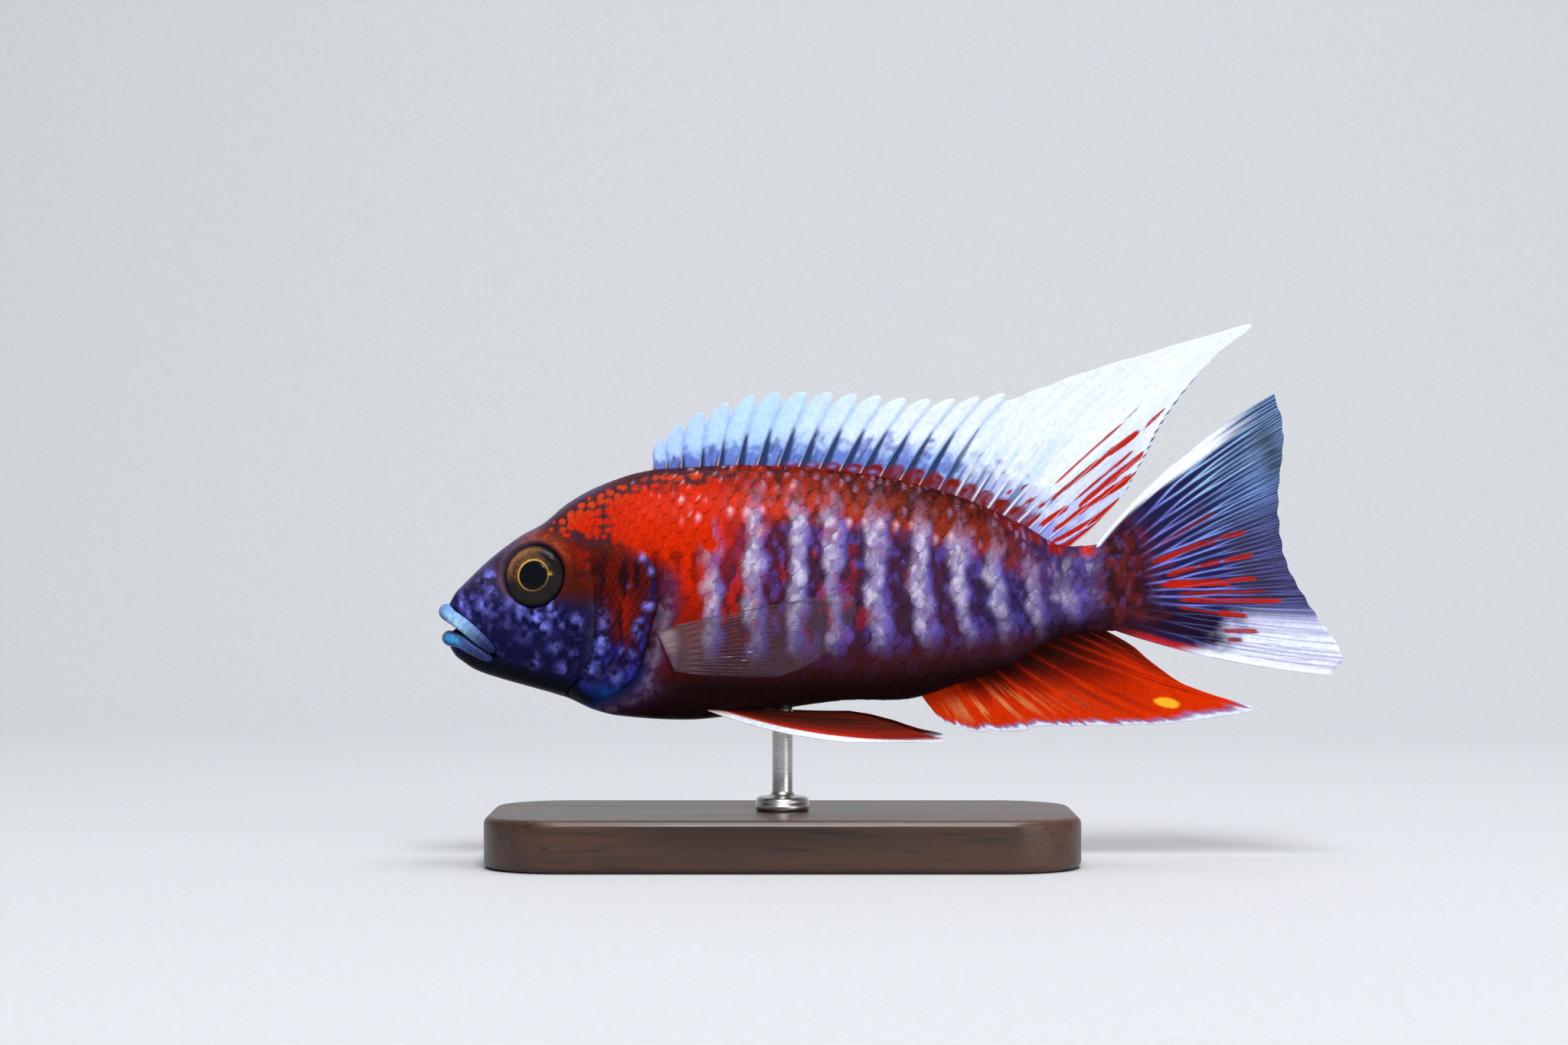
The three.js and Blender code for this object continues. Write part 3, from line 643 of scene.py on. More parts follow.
@dataclass(frozen=True)
class Markings:
    """The fish's colours and pattern, the same on skin and scales."""

    body: Body
    relief: Relief
    bar_half: float = 0.21
    mottle_grain: Grain = field(default_factory=lambda: Grain(11))
    patch_grain: Grain = field(default_factory=lambda: Grain(23))
    fine_grain: Grain = field(default_factory=lambda: Grain(37))

    def bar(self, s: Array, h: Array) -> tuple[Array, Array]:
        """The upright bars of the flank.

        Args:
            s: Places along the fish.
            h: Their heights.

        Returns:
            How much of a bar each place has, and where in the bar it is, from its front to its rear.
        """
        lean = (0.05 + 0.2 * soft(52, 96, s)) * np.minimum(h + 4.0, 2.0)
        waver = 1.5 * (self.patch_grain(s / 4.0, h / 2.3) - 0.5)
        phase = BAR_PHASE(s + lean + waver)
        place = phase - np.round(phase)
        half = self.bar_half + 0.16 * (self.mottle_grain(np.round(phase) * 3.7, h / 2.6) - 0.45)
        strength = soft(half + 0.12, half - 0.08, np.abs(place)) * soft(-0.62, -0.3, phase)
        return strength, place

    def flame(self, s: Array, h: Array) -> Array:
        """How much of the nape and shoulder is flame: small dots in front and along the back, joined elsewhere.

        Args:
            s: Places along the fish.
            h: Their heights.

        Returns:
            The shares.
        """
        under = BACK(s) - h
        joined = soft(25.0, 30.0, s) * soft(2.2 - 0.4 * soft(36, 44, s), 5.2 - 1.2 * soft(36, 44, s), under)
        reach = 0.25 + 0.1 * soft(15.5, 22.0, s) + 0.66 * joined
        reach += 0.4 * near(s, 23.4, 2.3) * near(h, 7.6, 1.9) - 0.3 * near(s, 26.9, 0.9) * soft(10.0, 7.5, h)
        reach += 0.3 * (self.mottle_grain.layered(s / 3.0, h / 2.4) - 0.5)
        bare = 0.8 - 0.5 * soft(26, 40, s)
        reach *= soft(bare, bare + 0.8, under) * soft(14.0, 16.5, s)
        reach *= soft(-1.2, 1.4, h - FLAME_EDGE(s) + 3.0 * (self.patch_grain.layered(s / 1.6, h / 1.6) - 0.5))
        return soft(0.07, -0.05, self.patch_grain.spots(s / 1.45, h / 1.3) - reach) * soft(0.02, 0.12, reach)

    def mottled(self, s: Array, h: Array) -> Array:
        """The bright mottles of the face and gill cover.

        Args:
            s: Places along the fish.
            h: Their heights.

        Returns:
            The shares.
        """
        broken = self.fine_grain.layered(s / 1.0, h / 1.0)
        found = np.zeros_like(s)
        for place, height, radius, strength in MOTTLES:
            away = np.hypot(s - place, (h - height) * 0.85) / (radius * (0.78 if place > 28.0 else 1.0))
            found = np.maximum(found, strength * np.exp(-(away**2)))
        return 0.92 * found * soft(0.36, 0.66, broken)

    def head(self, s: Array, h: Array) -> Array:
        """The colour of the head's skin.

        Args:
            s: Places along the fish.
            h: Their heights.

        Returns:
            The colours.
        """
        under = BACK(s) - h
        over = h - BELLY(s)
        lumps = self.mottle_grain.layered(s / 1.9, h / 1.6)
        fine = self.fine_grain.layered(s / 0.7, h / 0.7)
        eye = self.relief.eye
        ring = np.hypot(s - eye.s, h - eye.h)
        facing = ((eye.s - s) * 0.9 + (h - eye.h) * 0.44) / np.maximum(ring, 0.1)
        orbit = near(ring, 5.45, 0.45) * soft(-0.1, 0.9, facing)
        low = soft(-1.2, -5.5, h + 0.1 * (s - 12)) * soft(27, 22, s)
        flecks = self.mottle_grain.layered(s / 0.95 + 5.0, h / 0.9)
        clouds = low * soft(0.46, 0.7, flecks) * soft(0.4, 0.6, lumps)
        snout = soft(1.4, -2.0, h + 0.3 * (s - 8)) * soft(15, 8, s) * soft(-11, -7, h)
        faint = np.maximum(snout * 0.27, 0.08 * low * soft(-16, -12, h)) * soft(0.58, 0.76, flecks)
        bright = np.maximum(self.mottled(s, h), faint * (0.3 + 0.7 * fine))
        burning = paint(Hue.NAPE_ORANGE, (Hue.FLAME, soft(1.5, 5.0, under) * soft(17, 22, s)))
        behind_eye = soft(17.5, 21, s) * soft(-6.0, -2.0, h) * soft(6.5, 3.5, h) * soft(0.4, 0.62, lumps)
        gill = soft(-0.3, 0.5, self.relief.past_cheek(s, h)) * soft(5.5, 0.5, h)
        streaks = self.mottle_grain.layered(s / 0.9, h / 4.5)
        glow = near(s, 29.6, 1.3) * near(h, -6.0, 4.0)
        lower = soft(-8.5, -12.5, h + 0.25 * (s - 29))
        rim = near(self.relief.past_gill_edge(s, h), -1.1, 0.8) * soft(4, 1, h)
        front = near(self.relief.past_cheek(s, h), 1.3, 1.1) * soft(-3, -7, h)
        cover = paint(
            Hue.GILL_RED,
            (Hue.GILL_BROWN, soft(0.4, 0.62, streaks)),
            (Hue.FLAME, (0.36 * glow + 0.08 * soft(-6, 3, h)) * soft(0.5, 0.36, streaks)),
            (Hue.GILL_BROWN, soft(28.5, 26.0, s) * soft(-1, -5, h) * 0.6),
            (Hue.DEEP_BLUE, lower * 0.9),
            (Hue.SOFT_VIOLET, np.maximum(rim, front) * soft(0.36, 0.54, flecks) * 0.85),
            (Hue.GILL_BLUE, np.maximum(rim * soft(-2, -5, h), lower * 0.34) * soft(0.5, 0.66, flecks) * 0.8),
        )
        # the mouth's gap between the lips, painted near black: painted shade in the mouth
        gap = near(h, MOUTH_LINE(s), 0.9) * soft(9.6, 7.5, s)
        return paint(
            Hue.MAUVE,
            (Hue.CHEEK_BROWN, soft(15.5, 20, s) * soft(-6.0, -2.5, h + 2.0 * (lumps - 0.5)) * 0.97),
            (Hue.NAPE_PLUM, soft(12, 18, s) * soft(3, 6, h) * 0.9),
            (Hue.BROW, near(ring, 6.3, 0.9) * soft(1.0, 4.5, h) * soft(11.0, 15.0, s) * 0.9),
            (Hue.DEEP_BLUE, low * 0.96),
            (Hue.SOFT_VIOLET, clouds * soft(-15.5, -11, h) * 0.8),
            (Hue.SNOUT_LILAC, snout * (0.12 + 0.75 * soft(0.42, 0.62, flecks)) * 0.8),
            (Hue.RIM_GREY, near(under, 0.0, 0.8) * soft(2, 5, s) * soft(30, 24, s) * 0.6),
            (burning, self.flame(s, h) * (0.8 + 0.2 * fine)),
            (Hue.EMBER, behind_eye * soft(20, 26, s + h) * 0.7),
            (cover, gill),
            (Hue.MOTTLE, bright),
            # painted shade in the crease along the cheek's rear edge
            (Hue.INK, near(self.relief.past_cheek(s, h), 0.15, 0.3) * soft(0, -4, h) * 0.85),
            # painted shade along the gill cover's rear edge
            (Hue.INK, near(self.relief.past_gill_edge(s, h), -0.1, 0.25) * soft(3, 1, h) * 0.5),
            (Hue.THROAT, soft(4.2, 1.8, over) * soft(2, 6, s)),
            (Hue.THROAT_TEAL, near(over, 3.4, 1.4) * near(s, 27.5, 3.2) * 0.8),
            (Hue.ORBIT, orbit * 0.7),
            (Hue.MOUTH, gap),
        )

    def flank(self, s: Array, h: Array) -> Array:
        """The colour of the trunk and the tail stalk.

        Args:
            s: Places along the fish.
            h: Their heights.

        Returns:
            The colours.
        """
        line = BACK(s) - LATERAL_LINE
        fine = self.fine_grain.layered(s / 0.9, h / 1.0)
        patches = self.patch_grain.layered(s / 1.5, h / 3.4)
        netted = self.mottle_grain.layered(s / 0.8, h / 1.3)
        crowd = 0.62 - 0.04 * soft(38, 50, s) - 0.1 * soft(4.0, 1.0, BACK(s) - h)
        upper = paint(
            Hue.BACK_RED,
            (Hue.BACK_BROWN, soft(44, 74, s)),
            (Hue.BACK_PLUM, soft(crowd - 0.02, crowd + 0.04, netted) * 0.85),
        )
        dusk = soft(0.52, 0.66, self.mottle_grain.layered(s / 1.1 + 3.0, h / 1.7)) * soft(44, 54, s)
        gap = paint(
            Hue.GAP_RED,
            (Hue.GAP_PLUM, soft(39, 47, s + 0.25 * (-3 - h))),
            (Hue.GAP_DARK, soft(50, 62, s)),
            (Hue.GAP_REAR, soft(76, 90, s)),
            (Hue.STALK_VIOLET, soft(90, 99, s) * soft(-8, -5, h)),
            (Hue.FLAME, soft(0.6, 0.72, patches) * soft(60, 44, s) * soft(-9, -5, h) * 0.7),
            (Hue.GAP_RED, soft(0.58, 0.7, patches) * soft(84, 60, s) * soft(-15, -8, h) * 0.6),
            (Hue.BAR_VIOLET, dusk * 0.42),
        )
        strength, place = self.bar(s, h)
        high = soft(3.0, -0.8, h - line - 0.8 * soft(48, 75, s))
        low = soft(-16.0, -9.0, h - 0.05 * (s - 60) + 1.5 * near(s, 46, 6))
        bars = strength * high * low * soft(104, 96, s) * (1 - 0.45 * soft(0.58, 0.68, patches))
        crisp = self.mottle_grain.layered(s / 0.55, h / 0.9)
        pale = paint(
            Hue.BAR_GREY,
            (Hue.BAR_WHITE, soft(0.45, 0.64, 0.4 * fine + 0.6 * crisp)),
            (Hue.BAR_VIOLET, soft(-0.02, 0.26, place + 0.1 * soft(-2, -12, h)) * 0.9),
            (Hue.BAR_VIOLET, soft(-4, -13, h) * 0.5),
        )
        column = soft(0.5, 0.9, strength) * soft(-1.0, 1.0, h - line) * soft(0.8, 2.4, BACK(s) - h)
        column = column * soft(41, 48, s)
        band = near(h, -3.3, 0.9) * soft(90, 96, s) * soft(108, 102, s) * soft(0.3, 0.6, fine)
        top = near(h, 1.2, 1.5) * soft(92, 97, s) * soft(107, 101, s) * soft(0.45, 0.65, fine)
        shoulder = soft(44, 39.5, s + 0.12 * (-2 - h)) * soft(-12.5, -7.5, h) * soft(2.4, 4.8, BACK(s) - h)
        over = soft(50, 42, s + 2.0 * (fine - 0.5)) * soft(2.0, 5.0, h)
        ablaze = shoulder * soft(-7.5, 1.0, h) + over * self.flame(s, h)
        burning = paint(Hue.NAPE_ORANGE, (Hue.FLAME, soft(0.8, 3.0, BACK(s) - h)))
        belly = soft(-9.5, -14.5, h - 0.10 * np.maximum(s - 60, 0))
        behind = self.relief.past_gill_edge(s, h)
        strip = near(behind, 1.7, 1.6) * soft(2.4, -1.5, h)
        colour = paint(
            gap,
            (upper, soft(-2.0, 1.4, h - line) * soft(98, 84, s)),
            (Hue.BACK_RED, soft(2.4, 0.9, BACK(s) - h) * soft(86, 94, s) * soft(0.3, 0.6, patches)),
            (pale, bars * (0.9 - 0.34 * soft(76, 98, s))),
            (Hue.BLOTCH, column * soft(0.4, 0.52, crisp) * soft(100, 88, s) * 0.5),
            (pale, band * 0.6),
            (pale, top * 0.5),
            (Hue.EMBER, shoulder * 0.9),
            (Hue.NAPE_PLUM, over * soft(5.0, 3.4, BACK(s) - h)),
            (burning, ablaze * soft(0.74, 0.5, patches * (1.15 - 0.3 * soft(0, 8, h)))),
            (Hue.BELLY_RED, belly * 0.85),
            (Hue.BELLY_BROWN, soft(-13.0, -18.0, h - 0.12 * np.maximum(s - 66, 0))),
            (Hue.BELLY_BROWN, soft(-6.0, -8.6, h) * soft(92, 97, s) * 0.8),
            (stalk_end(s, h), soft(101.0, 105.5, s + 1.6 * (fine - 0.5))),
            (Hue.STRIP_PLUM, strip * 0.85),
            (Hue.GAP_DARK, soft(4.5, 2.5, behind) * soft(-2.0, -7.0, h) * soft(-15.0, -11.0, h) * 0.7),
            (Hue.FLESH, near(behind, 1.9, 0.8) * strip * 0.8 * soft(0.36, 0.6, fine)),
            # painted shadow just behind the gill cover's edge
            (Hue.INK, near(behind, 0.3, 0.5) * soft(3.0, 1.0, h) * 0.9),
            (Hue.THROAT_TEAL, near(behind, 0.4, 1.3) * soft(-12, -15, h) * 0.4),
        )
        shade = (0.2 + 0.4 * soft(40, 52, s)) * soft(7.5, 0.5, BACK(s) - h) * soft(27, 38, s) * soft(106, 96, s)
        return colour * (1.0 - shade)[..., None]

    def colour(self, s: Array, h: Array) -> Array:
        """The colour of a place anywhere on the fish's body.

        Args:
            s: Places along the fish.
            h: Their heights.

        Returns:
            The colours.
        """
        trunk = soft(-0.15, 0.15, self.relief.past_gill_edge(s, h)) * soft(4.2, 3.4, h)
        trunk = np.maximum(trunk, soft(28.0, 33.0, s) * soft(2.4, 7.0, h))
        trunk = np.maximum(trunk, soft(33.5, 36.5, s) * soft(0.0, 2.0, h))
        return paint(self.head(s, h), (self.flank(s, h), trunk))

    def on_scales(self, colour: Array, roots: Array, local: Array, luck: Array) -> Array:
        """Changes the colours that lie under scales to what the scales show.

        Args:
            colour: The colour at each point.
            roots: The middle of the point's scale, as s and h.
            local: The point's place on its scale: along it, across it, and the share of the way to its edge.
            luck: A number from 0 to 1 that is the scale's own.

        Returns:
            The colours.
        """
        s, h = roots[:, 0], roots[:, 1]
        line = BACK(s) - LATERAL_LINE
        along, across = local[:, 0], local[:, 1]
        middle = near(along, 0.72, 0.14) * near(across, 0.0, 0.5)
        upper = soft(-1.4, 1.2, h - line) * soft(104, 92, s) * soft(30, 40, s)
        fate = np.mod(luck * 13.0, 1.0)
        size = 0.55 + 0.45 * soft(40, 50, s)
        narrow = near(along, 0.76 + 0.12 * (fate - 0.5), 0.075 * size)
        narrow = narrow * near(across, 0.3 * np.sin(luck * 40.0), (0.2 + 0.26 * fate) * size)
        blotch = upper * soft(0.2, 0.7, narrow) * soft(0.25, 0.5, luck + 0.3 * soft(40, 56, s))
        pored = near(h - line, 0.0, 0.8) * soft(35, 39, s) * soft(88, 78, s) * soft(0.2, 0.4, luck)
        spot = pored * near(along, 0.78, 0.08) * near(across, 0.2, 0.22)
        flash = soft(0.9, 0.95, luck) * near(along, 0.74, 0.07) * near(across, 0.0, 0.22)
        flash = flash * soft(29, 33, s) * soft(62, 50, s) * soft(2, 6, h)
        # each scale darker along its free edge: partly its own darker margin, partly painted shade for the line
        # of shadow at the scale's edge
        outline = 0.15 * soft(0.86, 1.0, local[:, 2])
        level = 0.95 + 0.1 * middle - outline + 0.1 * (luck - 0.5)
        out = colour * level[:, None]
        hue = paint(
            Hue.BACK_PLUM,
            (Hue.BLOTCH, soft(0.2, 0.8, np.mod(luck * 7.0, 1.0))),
            (Hue.FLECK, soft(48, 40, s) * 0.6),
        )
        return paint(
            out,
            (hue, blotch * (0.85 - 0.2 * soft(46, 56, s))),
            (Hue.FLECK, np.maximum(spot, flash) * 0.85),
        )


def outward_faces(points: Array, groups: list[Array]) -> list[Array]:
    """Turns the faces of a closed mesh the right way out.

    Args:
        points: The mesh's points.
        groups: Faces, an array for each count of corners.

    Returns:
        The faces, with their corners in reverse if the mesh was inside out.
    """
    volume = 0.0
    for group in groups:
        first = points[group[:, 0]]
        for k in range(1, group.shape[1] - 1):
            volume += float(np.einsum("ij,ij->", first, np.cross(points[group[:, k]], points[group[:, k + 1]])))
    return groups if volume > 0 else [group[:, ::-1] for group in groups]


def add_object(name: str, data: bpy.types.ID) -> bpy.types.Object:
    """Makes an object of some data and puts it in the scene.

    Args:
        name: The object's name.
        data: Its mesh, lamp or camera.

    Returns:
        The object.
    """
    made = bpy.data.objects.new(name, data)
    bpy.context.scene.collection.objects.link(made)
    return made


def circle(count: int) -> Array:
    """Angles spread evenly round a circle."""
    return np.linspace(0, 2 * math.pi, count, endpoint=False)


def make_mesh(name: str, points: Array, groups: list[Array], closed: bool = True) -> bpy.types.Object:
    """Makes a smooth mesh object from points and faces.

    Args:
        name: The object's name.
        points: Its points in metres.
        groups: Faces, an array for each count of corners.
        closed: Whether it is one closed surface, which is then turned right side out.

    Returns:
        The object.
    """
    if closed:
        groups = outward_faces(points, groups)
    corners = np.concatenate([group.ravel() for group in groups]).astype(np.int32)
    sizes = np.concatenate([np.full(len(group), group.shape[1]) for group in groups])
    starts = np.concatenate([[0], np.cumsum(sizes)[:-1]]).astype(np.int32)
    mesh = bpy.data.meshes.new(name)
    mesh.vertices.add(len(points))
    mesh.vertices.foreach_set("co", points.astype(np.float32).ravel())
    mesh.loops.add(len(corners))
    mesh.loops.foreach_set("vertex_index", corners)
    mesh.polygons.add(len(sizes))
    mesh.polygons.foreach_set("loop_start", starts)
    mesh.update(calc_edges=True)
    mesh.polygons.foreach_set("use_smooth", np.ones(len(sizes), bool))
    return add_object(name, mesh)


def set_tint(made: bpy.types.Object, colours: Array, cover: Array | float = 1.0) -> None:
    """Gives an object's points their colours.

    Args:
        made: The mesh object.
        colours: One colour for each point, as light.
        cover: How opaque each point is.
    """
    attribute = made.data.color_attributes.new(TINT, "FLOAT_COLOR", "POINT")
    opaque = np.broadcast_to(cover, len(colours))
    rgba = np.concatenate([np.clip(colours, 0.0, 1.0), opaque[:, None]], axis=1)
    attribute.data.foreach_set("color", rgba.astype(np.float32).ravel())


def points_of(mesh: bpy.types.Mesh) -> Array:
    """A mesh's points as an array.

    Args:
        mesh: The mesh.

    Returns:
        The points.
    """
    found = np.zeros(len(mesh.vertices) * 3, np.float32)
    mesh.vertices.foreach_get("co", found)
    return found.reshape(-1, 3).astype(float)


def give_numbers(mesh: bpy.types.Mesh, values: dict[str, Array]) -> None:
    """Adds number attributes to a mesh's points.

    Args:
        mesh: The mesh.
        values: The numbers of each attribute, by its name.
    """
    for name, numbers in values.items():
        made = mesh.attributes.new(name, "FLOAT", "POINT")
        made.data.foreach_set("value", numbers.astype(np.float32))


def numbers_of(mesh: bpy.types.Mesh, name: str) -> Array:
    """A number attribute of a mesh's points as an array.

    Args:
        mesh: The mesh.
        name: The attribute's name.

    Returns:
        The numbers.
    """
    found = np.zeros(len(mesh.vertices), np.float32)
    mesh.attributes[name].data.foreach_get("value", found)
    return found.astype(float)


def make_tube(name: str, rings: Array, ends: Array) -> bpy.types.Object:
    """Makes a closed mesh object of rings of points.

    Args:
        name: The object's name.
        rings: The rings' points in metres: rings by points by 3.
        ends: The two points in which the first and the last ring close.

    Returns:
        The object, whose last two points are the ends.
    """
    count, around = rings.shape[:2]
    i, j = np.meshgrid(np.arange(count - 1), np.arange(around), indexing="ij")
    a, b = i * around + j, i * around + (j + 1) % around
    quads = np.stack([a, b, b + around, a + around], axis=-1).reshape(-1, 4)
    here = np.arange(around)
    after, last = (here + 1) % around, (count - 1) * around
    near_end = np.stack([np.full(around, count * around), after, here], axis=-1)
    far_end = np.stack([np.full(around, count * around + 1), last + here, last + after], axis=-1)
    points = np.concatenate([rings.reshape(-1, 3), ends])
    return make_mesh(name, points, [quads, np.concatenate([near_end, far_end])])


def plate_faces(columns: int, rows: int) -> list[Array]:
    """Faces of a thin closed plate: one face's grid of points, then the other's.

    Args:
        columns: Points along it.
        rows: Points up it.

    Returns:
        The faces, the rim included.
    """
    total = columns * rows
    i, j = np.meshgrid(np.arange(columns - 1), np.arange(rows - 1), indexing="ij")
    a = (i * rows + j).ravel()
    front = np.stack([a, a + rows, a + rows + 1, a + 1], axis=-1)
    back = front[:, ::-1] + total
    rim = rim_of(columns, rows)
    after = np.roll(rim, -1)
    edge = np.stack([rim, rim + total, after + total, after], axis=-1)
    return [np.concatenate([front, back, edge])]


def rim_of(columns: int, rows: int) -> Array:
    """The numbers of a grid's border points, in order round it.

    Args:
        columns: How many columns the grid has.
        rows: How many points a column has.

    Returns:
        The numbers.
    """
    return np.concatenate(
        [
            np.arange(columns) * rows,
            (columns - 1) * rows + np.arange(1, rows),
            np.arange(columns - 2, -1, -1) * rows + rows - 1,
            np.arange(rows - 2, 0, -1),
        ]
    )


def seed_points(
    name: str, points: Array, values: dict[str, Array], chains: list[int] | None = None
) -> bpy.types.Object:
    """An object of bare points with numbers, for a tree to grow something on.

    Args:
        name: Its name.
        points: The points.
        values: The numbers of each attribute.
        chains: How many points each line has, if the points are joined in lines.

    Returns:
        The object.
    """
    mesh = bpy.data.meshes.new(name)
    mesh.vertices.add(len(points))
    mesh.vertices.foreach_set("co", points.astype(np.float32).ravel())
    if chains:
        first = np.arange(len(points) - 1)
        first = first[~np.isin(first + 1, np.cumsum(chains))]
        mesh.edges.add(len(first))
        mesh.edges.foreach_set("vertices", np.stack([first, first + 1], axis=-1).astype(np.int32).ravel())
    give_numbers(mesh, values)
    return add_object(name, mesh)


class Wiring:
    """A node tree in the making."""

    tree: bpy.types.NodeTree

    def node(
        self, kind: str, inputs: dict[str | int, object], output: str | int = 0, **settings: object
    ) -> Socket | None:
        """Adds a node.

        Args:
            kind: The node's type.
            inputs: For its sockets, by name or number, the socket joined to each or the value it is set to.
            output: Which of its outputs is wanted.
            settings: The node's own settings.

        Returns:
            The output, if it has any.
        """
        made = self.tree.nodes.new(kind)
        for name, value in settings.items():
            setattr(made, name, value)
        self.fill(made, inputs)
        return made.outputs[output] if made.outputs else None

    def fill(self, node: bpy.types.Node, inputs: dict[str | int, object]) -> None:
        """Joins or sets a node's inputs.

        Args:
            node: The node.
            inputs: The socket joined to each input, or the value it is set to.
        """
        for key, value in inputs.items():
            if isinstance(value, Socket):
                self.tree.links.new(value, node.inputs[key])
            else:
                node.inputs[key].default_value = value


class TreeMaker(Wiring):
    """Puts a Geometry Nodes tree together, with named inputs."""

    def __init__(self, name: str, **takes: str) -> None:
        """Starts a tree that takes a geometry, a material and more, and gives a geometry back.

        Args:
            name: The tree's name.
            takes: The kinds of its further inputs, by their names.
        """
        self.tree = bpy.data.node_groups.new(name, "GeometryNodeTree")
        self.tree.interface.new_socket("Geometry", in_out="OUTPUT", socket_type="NodeSocketGeometry")
        for key, kind in {"Geometry": "Geometry", **takes, "Material": "Material"}.items():
            self.tree.interface.new_socket(key, in_out="INPUT", socket_type=f"NodeSocket{kind}")
        self.given = self.tree.nodes.new("NodeGroupInput").outputs

    def named(self, name: str) -> Socket:
        """Reads a number attribute of the geometry."""
        return self.node("GeometryNodeInputNamedAttribute", {"Name": name}, "Attribute", data_type="FLOAT")

    def close(self, last: Socket) -> bpy.types.NodeTree:
        """Ends the tree in Realize Instances and Set Material.

        Args:
            last: The geometry made so far.

        Returns:
            The tree.
        """
        real = self.node("GeometryNodeRealizeInstances", {"Geometry": last})
        dressed = self.node("GeometryNodeSetMaterial", {"Geometry": real, "Material": self.given["Material"]})
        self.node("NodeGroupOutput", {"Geometry": dressed})
        return self.tree


def grow(
    seedling: bpy.types.Object, tree: bpy.types.NodeTree, values: dict[str, object], name: str
) -> bpy.types.Object:
    """Runs a Geometry Nodes tree on an object and keeps the result as a plain mesh.

    Args:
        seedling: The object that the tree starts from, which is then removed.
        tree: The tree.
        values: The tree's inputs by name.
        name: The name of the result.

    Returns:
        The new object.
    """
    modifier = seedling.modifiers.new("growth", "NODES")
    modifier.node_group = tree
    sockets = {item.name: item.identifier for item in tree.interface.items_tree if item.in_out == "INPUT"}
    for key, value in values.items():
        modifier[sockets[key]] = value
    seedling.update_tag()
    bpy.context.view_layer.update()
    evaluated = seedling.evaluated_get(bpy.context.evaluated_depsgraph_get())
    mesh = bpy.data.meshes.new_from_object(evaluated)
    mesh.name = name
    seedling.modifiers.clear()
    bpy.data.objects.remove(seedling)
    mesh.polygons.foreach_set("use_smooth", np.ones(len(mesh.polygons), bool))
    return add_object(name, mesh)


def tube_tree() -> bpy.types.NodeTree:
    """A tree that turns lines of points into round tubes, each point's thickness being its radius.

    Returns:
        The tree.
    """
    maker = TreeMaker("rays_from_lines", Sides="Int", Thickness="Float")
    given = maker.given
    lines = maker.node("GeometryNodeMeshToCurve", {"Mesh": given["Geometry"]})
    ring = maker.node("GeometryNodeCurvePrimitiveCircle", {"Resolution": given["Sides"], "Radius": 1.0})
    factors = {0: maker.named("radius_mm"), 1: given["Thickness"]}
    scaled = maker.node("ShaderNodeMath", factors, operation="MULTIPLY")
    tubes = {"Curve": lines, "Profile Curve": ring, "Scale": scaled, "Fill Caps": True}
    return maker.close(maker.node("GeometryNodeCurveToMesh", tubes))


def scale_tree() -> bpy.types.NodeTree:
    """A tree that sets a scale on each point of a flat field, sized by the point and turned a little by chance.

    Returns:
        The tree.
    """
    maker = TreeMaker("scales_on_points", Scale="Object", Turn="Float", Seed="Int")
    given = maker.given
    pattern = {"Object": given["Scale"]}
    pattern = maker.node("GeometryNodeObjectInfo", pattern, "Geometry", transform_space="ORIGINAL")
    least = maker.node("ShaderNodeMath", {0: given["Turn"], 1: -1.0}, operation="MULTIPLY")
    chance = {2: least, 3: given["Turn"], "Seed": given["Seed"]}
    chance = maker.node("FunctionNodeRandomValue", chance, 1, data_type="FLOAT")
    turn = maker.node("ShaderNodeCombineXYZ", {"Z": chance})
    size = {axis: maker.named(name) for axis, name in (("X", "long"), ("Y", "wide"), ("Z", "lift"))}
    size = maker.node("ShaderNodeCombineXYZ", size)
    scales = {"Points": given["Geometry"], "Instance": pattern, "Rotation": turn, "Scale": size}
    return maker.close(maker.node("GeometryNodeInstanceOnPoints", scales))


